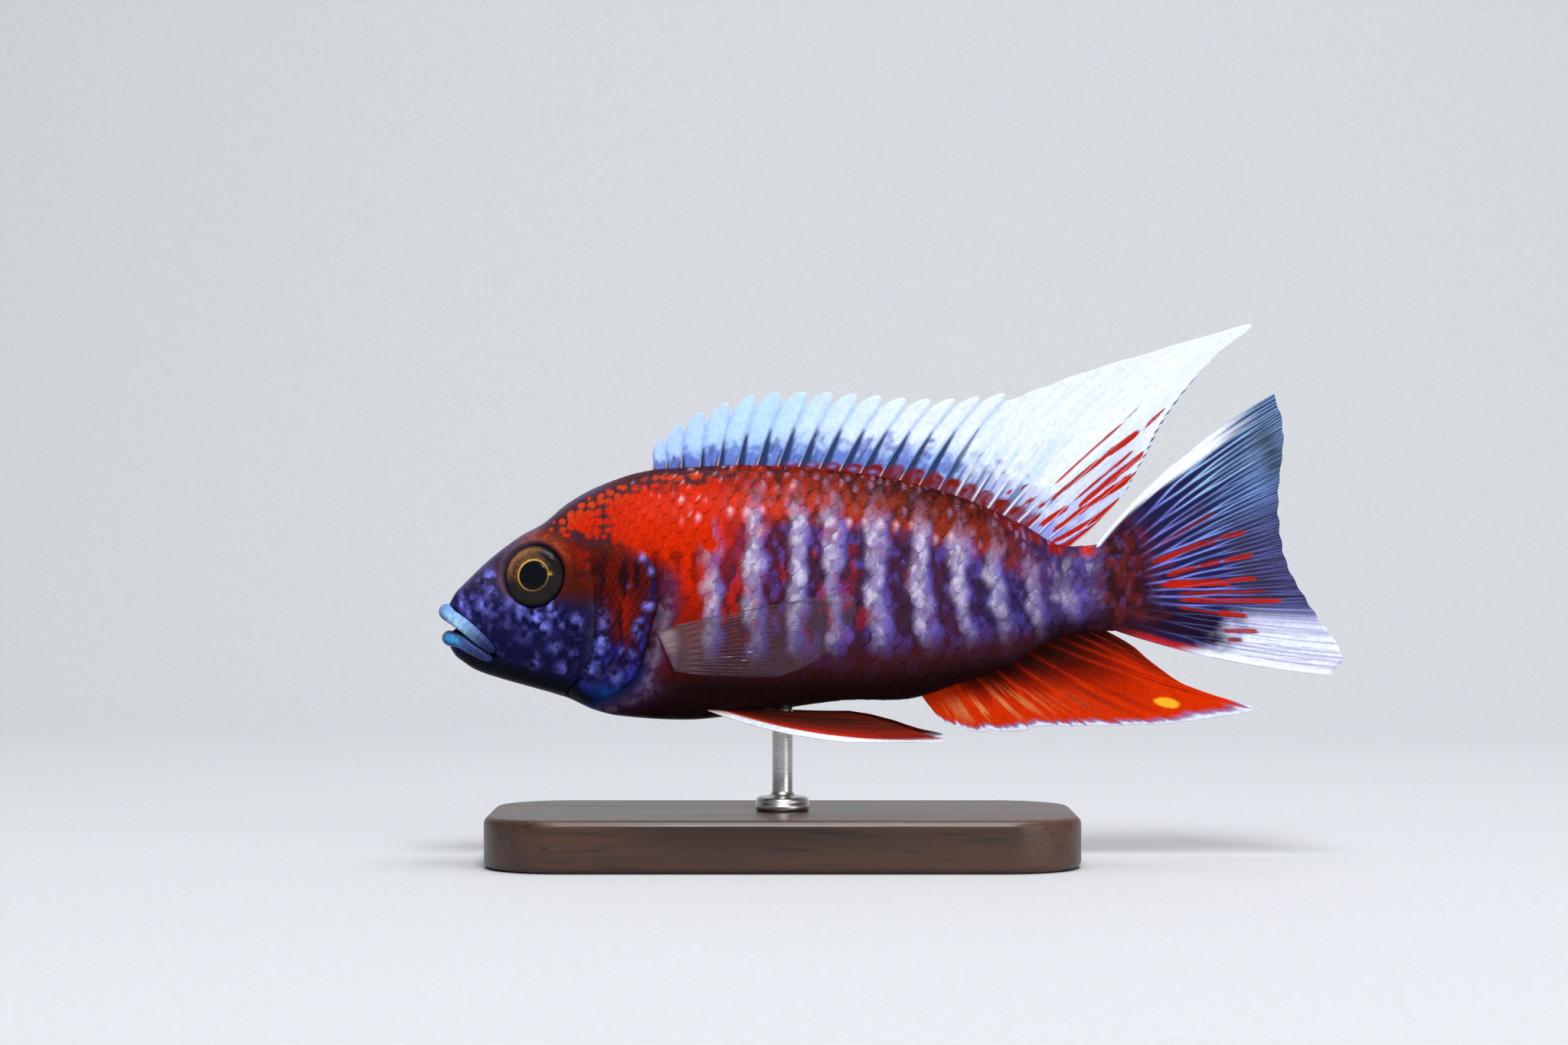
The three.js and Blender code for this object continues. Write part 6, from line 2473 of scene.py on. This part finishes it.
@dataclass
class AnalFin(Fin):
    """The anal fin: orange red, with a pale lower margin and an egg spot."""

    name: str = "anal_vane"
    nodes: tuple[str, ...] = ("anal_fin",)
    slot: str = "red_fin"
    shape: FinShape = ANAL
    spines: int = 3
    per_ray: int = 28

    def reach(self, u: Array) -> Array:
        """Adds the small lobes between the spines."""
        lobes = 0.7 * LOBE_OUTLINE(u - np.floor(u))
        return np.where(u < self.spines, lobes, super().reach(u))

    def colour(self, u: Array, t: Array, points: Array) -> Array:
        """Orange red in streaks along the rays, painted shadow at the root and rear, a pale margin and one
        yellow spot.

        Args:
            u: The places along the fin, in rays.
            t: The share of the way from root to tip.
            points: Where they are, in the fish's frame.

        Returns:
            The colours.
        """
        threads = self.grain.layered(u * 8.0, t * 1.4)
        fine = self.grain.layered(u * 9.0, t * 14.0)
        twig = near(self.twig(u, t) * self.spacing(u, t), 0.0, 0.3)
        bright = soft(0.2, 0.75, t + 0.3 * soft(3.2, 1.0, u) + 0.25 * (threads - 0.5))
        # painted shadow: the fin darkens towards its root, in the body's shade
        dark = soft(0.56, 0.14, t + 0.16 * (threads - 0.5)) * soft(1.0, 3.2, u)
        # painted shadow: the rear rays darken under the tail stalk
        rear = soft(7.6, 10.4, u) * soft(1.15, 0.75, t + 0.2 * (threads - 0.5))
        # painted highlight: a pale cream sheen on the front rays
        highlight = near(u, 2.6, 1.7) * near(t, 0.62, 0.2) * soft(0.5, 0.62, threads)
        inside = (1 - t) * 9.5 + 1.4 * (threads - 0.5) - 0.3 * soft(3.0, 0.0, u)
        edged = soft(8.0, 7.2, u)
        along, across = points[:, 0] - 114.4, points[:, 2] + 20.2
        away = np.hypot(along, (across + 0.16 * along) * 2.5) + 0.8 * (threads - 0.5)
        colour = paint(
            Hue.FIN_RUST,
            (Hue.FIN_ORANGE, np.clip(0.2 + 0.75 * bright + 0.5 * twig * soft(0.1, 0.35, t), 0, 0.97)),
            (Hue.FIN_RUST, soft(0.5, 0.72, threads) * 0.75 * soft(1.0, 0.55, t)),
            # painted shadow: at the root, then on the rear rays under the tail stalk
            (Hue.FIN_UMBER, dark * (0.96 - 0.3 * twig)),
            (Hue.FIN_UMBER, rear * 0.92),
            # painted highlight on the front rays
            (Hue.FIN_CREAM, highlight * 0.6),
            (Hue.FIN_ORCHID, soft(1.1, 0.5, inside) * edged * 0.85),
            (Hue.FIN_WHITE, soft(0.6, 0.25, inside) * edged * 0.85),
            (Hue.EGG_SPOT, soft(2.1, 1.5, away)),
        )
        return colour * (0.88 + 0.24 * fine)[..., None]

    def ray_colour(self, u: Array, t: Array, points: Array) -> Array:
        """Rays a little brighter than the skin."""
        return paint(self.colour(u, t, points), (Hue.FIN_ORANGE, soft(0.1, 0.3, t) * soft(0.9, 0.8, t) * 0.4))


@dataclass
class TailFin(Fin):
    """The tail fin: pale rays on a dark skin, white in front, red patches in the middle, white below."""

    name: str = "tail_vane"
    nodes: tuple[str, ...] = ("tail_fin",)
    slot: str = "pale_fin"
    shape: FinShape = CAUDAL
    per_ray: int = 40
    forks: tuple[tuple[float, float], ...] = ((0.26, 0.25), (0.5, 0.125), (0.74, 0.0625))

    def half(self, u: Array, t: Array) -> Array:
        """Thick where the tail stalk runs out into the fin."""
        return super().half(u, t) + 0.9 * np.clip(1 - t / 0.26, 0.0, 1.0) ** 1.4

    def colour(self, u: Array, t: Array, points: Array) -> Array:
        """Pale lines on navy above, red patches and black behind the stalk, white at the lower end.

        Args:
            u: The places along the fin, in rays.
            t: The share of the way from root to tip.
            points: Where they are, in the fish's frame.

        Returns:
            The colours.
        """
        s, h = points[:, 0], points[:, 2]
        threads = self.grain.layered(u * 8.0, t * 1.6)
        speck = self.grain.layered(s * 0.5, h * 0.5)
        fine = self.grain.layered(u * 9.0, t * 14.0)
        line = near(self.twig(u, t) * self.spacing(u, t), 0.0, 0.2 - 0.1 * t)
        upper = soft(8.0, 3.0, u)
        smoky = soft(3.8, 5.6, u) * soft(11.6, 10.0, u) * soft(0.56, 0.76, t)
        bright = np.minimum(0.25 + 0.85 * soft(0.32, 0.6, threads) + 0.12 * upper, 1.0)
        lit = paint(
            Hue.FIN_LILAC,
            (Hue.FIN_SKY, upper * soft(0.3, 0.6, t)),
            (Hue.FIN_ICE, soft(3.6, 1.4, u) * soft(0.3, 0.6, t)),
        )
        olive = near(s + 0.25 * (h - 19), 130.9, 2.6) * near(h, 19.0, 5.0)
        ahead = u * self.spacing(u, t) - 0.35 - 1.5 * soft(0.05, 0.65, t)
        ahead += 1.5 * (threads - 0.5) * soft(0.1, 0.4, t)
        front = soft(0.35, -0.35, ahead) * soft(0.92, 0.6, t + 0.2 * (threads - 0.5))
        blot = soft(10.9, 11.8, u) * soft(14.6, 13.9, u) * soft(0.1, 0.2, t)
        blot = blot * soft(0.56, 0.48, t + 0.1 * (speck - 0.5))
        rosy = soft(10.4, 12.6, u) * soft(0.46, 0.62, t + 0.2 * (speck - 0.5) + 0.03 * (u - 13.0))
        pale = paint(Hue.FIN_ORCHID, (Hue.FIN_WHITE, 0.45 + 0.5 * soft(0.35, 0.6, threads)))
        streaks = self.streaked(TAIL_STREAKS, u, t)
        edge = soft(14.35, 14.8, u + 0.3 * (speck - 0.5))
        root = soft(0.3, 0.1, t + 0.2 * (threads - 0.5)) * soft(0.35, 0.9, u * self.spacing(u, t))
        colour = paint(
            Hue.FIN_NAVY,
            (Hue.FIN_STEEL, upper * soft(0.45, 1.0, t + 0.4 * (threads - 0.5)) * 0.3),
            (Hue.FIN_SMOKE, smoky * 0.9),
            (Hue.FIN_NAVY, upper * (1 - line) * soft(0.5, 0.7, speck + 0.2) * 0.35),
            (lit, line * (0.95 - 0.6 * smoky) * soft(0.08, 0.26, t) * bright),
            (Hue.FIN_SLATE, soft(0.48, 0.62, threads) * upper * soft(0.55, 0.8, t) * 0.65),
            (Hue.FIN_OLIVE, olive * soft(0.2, 0.5, threads)),
            (Hue.FIN_WHITE, front * 0.97),
            (Hue.FIN_BLACK, blot * 0.9),
            (pale, rosy * 0.95),
            (Hue.FIN_ORCHID, rosy * soft(0.4, 0.75, 1 - line) * soft(0.45, 0.6, fine) * 0.5),
            (Hue.FIN_BRICK, soft(0.1, 0.6, streaks) * 0.9),
            (Hue.FIN_RED, soft(0.4, 1.0, streaks) * soft(0.75, 0.4, threads) * 0.85),
            (Hue.FIN_RED, edge * soft(0.5, 0.36, t) * 0.85),
            (Hue.FIN_WHITE, soft(14.5, 14.85, u) * soft(0.34, 0.48, t) * 0.9),
            (stalk_end(s, h), root * 0.96),
        )
        return colour * (0.86 + 0.28 * fine)[..., None]

    def ray_colour(self, u: Array, t: Array, points: Array) -> Array:
        """Rays a little paler than the skin beside them."""
        return paint(self.colour(u, t, points), (Hue.FIN_LILAC, soft(0.2, 0.4, t) * 0.2))


class PelvicFin(Fin):
    """A pelvic fin: red, with a white front edge and a dark clear rear."""

    def colour(self, u: Array, t: Array, points: Array) -> Array:
        """White at the front edge, red in streaks behind it, dark at the rear.

        Args:
            u: The places along the fin, in rays.
            t: The share of the way from root to tip.
            points: Where they are, in the fish's frame; not used.

        Returns:
            The colours.
        """
        threads = self.grain.layered(u * 8.0, t * 1.6)
        fine = self.grain.layered(u * 9.0, t * 14.0)
        colour = paint(
            Hue.FIN_BRICK,
            (Hue.FIN_RED, soft(0.4, 0.62, threads) * soft(3.0, 1.6, u) * soft(0.9, 0.5, t) * 0.8),
            (Hue.FIN_WINE, soft(1.8, 2.8, u + 0.9 * (threads - 0.5)) * 0.95),
            (Hue.FIN_BRICK, near(self.twig(u, t), 0.0, 0.07) * soft(1.6, 2.4, u) * 0.4),
            (Hue.FIN_CREAM, soft(2.1, 1.2, u) * soft(0.35, 0.1, t) * 0.4),
            (Hue.FIN_WHITE, soft(1.5, 1.05, u + 0.5 * (threads - 0.5)) * soft(0.02, 0.2, t) * 0.95),
        )
        return colour * (0.86 + 0.28 * fine)[..., None]


@dataclass
class PectoralFin(Fin):
    """A pectoral fin: clear, with many fine rays that fan out of a fleshy root."""

    root_half: float = 0.07
    edge_half: float = 0.03
    ray_radius: float = 0.075
    forks: tuple[tuple[float, float], ...] = ((0.06, 0.25), (0.4, 0.125), (0.66, 0.0625))
    ray_start: float = 0.11

    def at(self, u: Array, t: Array) -> Array:
        """Points of the fin, its root clear of the flank.

        Args:
            u: The places along the fin, in rays.
            t: The share of the way from root to tip.

        Returns:
            The points.
        """
        points = super().at(u, t)
        points[..., 1] += np.sign(points[..., 1]) * 1.25 * (1 - np.clip(t / 0.55, 0, 1)) ** 2
        return points

    def colour(self, u: Array, t: Array, points: Array) -> Array:
        """A faint brown, paler by the rays and dark along the lower edge.

        Args:
            u: The places along the fin, in rays.
            t: The share of the way from root to tip.
            points: Where they are, in the fish's frame; not used.

        Returns:
            The colours.
        """
        return paint(
            Hue.CLEAR,
            (Hue.FLESH, near(self.twig(u, t), 0.0, 0.1) * 0.6),
            (Hue.GAP_DARK, soft(8.4, 9.0, u) * 0.8),
        )

    def ray_colour(self, u: Array, t: Array, points: Array) -> Array:
        """Pale and dark fine rays by turns, some with a glint.

        Args:
            u: The places along the fin, in rays.
            t: The share of the way from root to tip.
            points: Where they are, in the fish's frame; not used.

        Returns:
            The colours.
        """
        turns = np.cos(np.round(u * 4.0) * math.pi)
        return paint(
            Hue.CLEAR_RAY,
            (Hue.GAP_DARK, 0.3 + 0.3 * turns),
            (Hue.FIN_FLESH, soft(0.4, 0.1, t)),
            (Hue.FIN_WHITE, self.glint(u, t)),
        )

    def glint(self, u: Array, t: Array) -> Array:
        """Small bright spots on the lower rays."""
        return soft(0.7, 0.8, self.grain(u * 4.0, t * 30.0)) * near(t, 0.5, 0.16) * near(u, 6.0, 1.6)

    def cover(self, u: Array, t: Array) -> Array:
        """Clear, and milky near the root."""
        return 0.1 + 0.3 * soft(0.3, 0.04, t)

    def ray_cover(self, u: Array, t: Array) -> Array:
        """Faint, with bright spots, and stronger near the root."""
        strong = 0.24 + 0.4 * soft(0.35, 0.1, t) * (1 - self.glint(u, t)) + 0.6 * self.glint(u, t)
        return strong * soft(self.ray_start, self.ray_start + 0.08, t)


@dataclass
class PectoralRoot(PectoralFin):
    """The fleshy root of a pectoral fin, from which its rays spread."""

    rows: int = 24

    def at(self, u: Array, t: Array) -> Array:
        """Points of the fin as far out as the flesh reaches."""
        reach = 0.14 - 0.008 * u + 0.02 * self.grain(u * 0.7)
        return super().at(u, t * reach)

    def half(self, u: Array, t: Array) -> Array:
        """A rounded pad that runs out to the fin's own thickness."""
        ends = quarter_round(np.minimum(u, self.shape.rays - u) / 2.5)
        return 0.04 + 0.62 * quarter_round(t / 0.3) * np.clip(1 - t, 0.0, 1.0) ** 0.8 * ends

    def cover(self, u: Array, t: Array) -> Array:
        """Opaque in the middle, running out into the fin and at both ends."""
        return soft(1.0, 0.35, t) * soft(0.0, 1.2, u) * soft(self.shape.rays, self.shape.rays - 2.0, u)

    def colour(self, u: Array, t: Array, points: Array) -> Array:
        """Pale flesh in fine stripes, darker at both edges.

        Args:
            u: The places along the fin, in rays.
            t: The share of the way from root to tip.
            points: Where they are, in the fish's frame; not used.

        Returns:
            The colours.
        """
        fine = self.grain.layered(u * 5.0, t * 2.0)
        return paint(
            Hue.FIN_FLESH,
            (Hue.FLESH, soft(0.4, 0.62, fine) * 0.8),
            (Hue.CLEAR, soft(0.5, 1.0, t) * 0.8),
            (Hue.STRIP_PLUM, soft(1.5, 6.0, u + 2.0 * (fine - 0.5)) * 0.85),
        )


@dataclass
class Stand:
    """The display stand: a rounded wooden base and one steel rod up into the belly."""

    body: Body
    length: float = 92.0
    width: float = 44.0
    height: float = 8.0
    corner: float = 12.0
    bevel: float = 1.2
    rod: float = 1.6
    foot: float = 4.2
    foot_height: float = 2.2

    def base(self) -> None:
        """Makes the base, with rounded corners and edges."""
        quarter = np.linspace(0, math.pi / 2, 17)
        turns = np.concatenate([quarter + k * math.pi / 2 for k in range(4)])
        signs = np.repeat([(1, 1), (-1, 1), (-1, -1), (1, -1)], 17, axis=0)
        middles = signs * np.array([self.length / 2 - self.corner, self.width / 2 - self.corner])
        arc = np.linspace(0, math.pi / 2, 7)
        rising, falling = self.bevel * (1 - np.sin(arc)), self.bevel * (1 - np.cos(arc))
        inner, outer = self.corner * 0.9, self.corner * 0.4
        inset = np.concatenate([[inner, outer], rising, falling, [outer, inner]])
        upper = self.height - self.bevel + self.bevel * np.sin(arc)
        level = np.concatenate([[0, 0], falling, upper, [self.height, self.height]])
        round_it = np.stack([np.cos(turns), np.sin(turns)], axis=-1)
        rims = middles + round_it * (self.corner - inset)[:, None, None]
        heights = np.broadcast_to(level[:, None, None], (*rims.shape[:2], 1))
        tips = np.array([[0, 0, 0], [0, 0, self.height]], float)
        rings = np.concatenate([rims, heights], axis=-1)
        made = make_tube("stand_block", rings * MILLIMETRE, tips * MILLIMETRE)
        enrol(made, "stand_wood", "stand_base", finish=Walnut().material())

    def post(self) -> None:
        """Makes the rod with its foot."""
        start = self.height + 0.02
        collar, waist = start + self.foot_height, start + 0.55 * self.foot_height
        reach = EYE_LINE + float(self.body.section(np.array(BALANCE))[0]) - 6.0
        top = min(reach, EYE_LINE + float(BELLY(BALANCE)) + 1.2)
        arc = np.linspace(0, math.pi / 2, 7)
        profile = [(self.foot - 0.3, start), (self.foot, start + 0.25), (self.foot, waist)]
        profile += zip(self.foot - 0.9 * (1 - np.cos(arc)), waist + 0.45 * self.foot_height * np.sin(arc))
        profile += [(self.rod + 0.9, collar), (self.rod + 0.3, collar + 0.25), (self.rod, collar + 0.8)]
        profile += [(self.rod, level) for level in (collar + 4.0, top - 3.0, top)]
        turn = circle(48)
        round_it = np.stack([np.cos(turn), np.sin(turn)], axis=-1)
        rings = np.array([[(r * x, r * y, z) for x, y in round_it] for r, z in profile])
        tips = np.array([[0, 0, start], [0, 0, top]])
        made = make_tube("stand_post", rings * MILLIMETRE, tips * MILLIMETRE)
        enrol(made, "stand_metal", "stand_rod", finish=STEEL.material())


@dataclass
class Studio:
    """Camera, pale floor and soft lights."""

    lens: float = 85.0
    sensor: float = 36.0
    frame_width: float = 0.2458
    middle_x: float = 0.00024
    middle_z: float = 0.0531
    floor_front: float = -1.6
    floor_back: float = 0.35
    bend: float = 0.5
    wall_top: float = 1.6
    half_width: float = 1.8
    sunk: float = 0.00005

    def camera(self) -> None:
        """Sets the camera level in front of the fish's left side."""
        data = bpy.data.cameras.new("camera")
        data.lens, data.sensor_width = self.lens, self.sensor
        data.clip_start, data.clip_end = 0.01, 20.0
        made = add_object("camera", data)
        made.location = (self.middle_x, -self.frame_width * self.lens / self.sensor, self.middle_z)
        made.rotation_euler = (math.pi / 2, 0.0, 0.0)
        bpy.context.scene.camera = made

    def backdrop(self) -> None:
        """A pale floor that bends up into a wall behind the fish."""
        arc = np.linspace(0, math.pi / 2, 24)
        wall, bent = self.floor_back + self.bend, self.floor_back + self.bend * np.sin(arc)[1:]
        y = np.concatenate([[self.floor_front, self.floor_back], bent, [wall]])
        z = np.concatenate([[0.0, 0.0], self.bend * (1 - np.cos(arc))[1:], [self.wall_top]]) - self.sunk
        points = np.concatenate(
            [np.stack([np.full_like(y, x), y, z], axis=-1) for x in (-self.half_width, self.half_width)]
        )
        n, k = len(y), np.arange(len(y) - 1)
        faces = np.stack([k, k + n, k + n + 1, k + 1], axis=-1)
        made = make_mesh("backdrop", points, [faces], closed=False)
        made.data.materials.append(PAPER.material())
        made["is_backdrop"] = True

    def lamp(self, name: str, place: tuple[float, float, float], size: float, power: float, aim: Array) -> None:
        """A square soft light.

        Args:
            name: Its name.
            place: Where it hangs.
            size: Its side.
            power: Its power in watts.
            aim: What it points at.
        """
        data = bpy.data.lights.new(name, "AREA")
        data.shape, data.size, data.energy = "SQUARE", size, power
        made = add_object(name, data)
        made.location = place
        away = np.array(place) - aim
        yaw = math.atan2(away[0], -away[1])
        pitch = math.atan2(math.hypot(away[0], away[1]), away[2])
        made.rotation_euler = (pitch, 0.0, yaw)

    def lights(self) -> None:
        """A key light above, a fill in front, and an even pale surround."""
        aim = np.array([0.0, 0.0, 0.05])
        self.lamp("key_light", (0.06, -0.72, 1.0), 0.42, 13.0, aim)
        self.lamp("top_light", (0.15, 0.15, 1.05), 0.6, 5.0, aim)
        self.lamp("fill_light", (0.85, -0.85, 0.3), 0.7, 4.0, aim)
        self.lamp("backdrop_light", (0.0, 0.1, 1.3), 0.7, 6.0, np.array([0.0, 0.85, 0.35]))
        world = bpy.data.worlds.new("surround")
        world.use_nodes = True
        sky = world.node_tree.nodes["Background"].inputs
        sky["Color"].default_value, sky["Strength"].default_value = (0.93, 0.95, 1.0, 1), 0.24
        bpy.context.scene.world = world
        bpy.context.scene.view_settings.view_transform = "Standard"

    def build(self) -> None:
        """Sets up the studio."""
        self.camera()
        self.backdrop()
        self.lights()


def build_fins() -> None:
    """Makes every fin, the paired ones on both sides."""
    tree = tube_tree()
    pale = Flesh("pale_fin", 0.4, 0.012, 0.0, 3000.0, 0.00003, 0.08, 0.06).material()
    red = Flesh("red_fin", 0.4, 0.012, 0.0, 3000.0, 0.00003, 0.12, 0.08).material()
    for fin, finish in ((DorsalFin(), pale), (AnalFin(), red), (TailFin(), pale)):
        fin.vane(finish)
        fin.rays(tree, finish)
    film = Film("clear_fin").material()
    for side in Side:
        word, mirror = side.word, -side.value
        pelvic = PelvicFin(f"pelvic_vane_{word}", (f"pelvic_fin_{word}",), "red_fin", PELVIC, mirror)
        pelvic.vane(red)
        pelvic.rays(tree, red)
        stands_for = (f"pectoral_fin_{word}",)
        pectoral = PectoralFin(f"pectoral_vane_{word}", stands_for, "clear_fin", PECTORAL, mirror)
        pectoral.vane(film)
        pectoral.rays(tree, film, 5)
        PectoralRoot(f"pectoral_root_{word}", (), "clear_fin", PECTORAL, mirror).vane(film)


def corners(box: tuple) -> list[list[float]]:
    """A box's two corners as plain numbers."""
    return [[float(v) for v in corner] for corner in box]


def main() -> None:
    """Builds the scene in order."""
    logging.basicConfig(level=logging.INFO, format="%(message)s")
    cad_box = corners(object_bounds())
    Studio().build()
    body, eye = Body(), EyeSizes()
    relief = Relief(body, eye)
    markings = Markings(body, relief)
    Skin(body, relief, markings).build()
    flat, tree = Unrolled(body), scale_tree()
    coats = (
        ScaleCoat(body, relief, markings, flat),
        FaceCoat(body, relief, markings, flat),
    )
    gloss = Flesh("scale_gloss", 0.3, 0.02, 0.0, 3200.0, 0.00004, 0.14, 0.13).material()
    for coat in coats:
        pattern = coat.pattern()
        for side in Side:
            coat.build(side, pattern, tree, gloss)
        bpy.data.objects.remove(pattern)
    lips = Flesh("lip_flesh", 0.3, 0.07, 0.02, 2400.0, 0.00006, 0.16, 0.12).material()
    Lip("upper_lip_flesh", UPPER_LIP).build(lips, "upper_lip")
    Lip("lower_lip_flesh", LOWER_LIP).build(lips)
    iris = Flesh("iris", 0.12, 0.05, 0.12, 6000.0, 0.000004, 0.08, 0.1).material()
    clear = Cornea().material()
    for side in Side:
        Eye(body, eye, side).build(iris, clear)
    build_fins()
    stand = Stand(body)
    stand.base()
    stand.post()
    {"cad": cad_box, "visual": corners(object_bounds())}


if __name__ == "__main__":
    main()
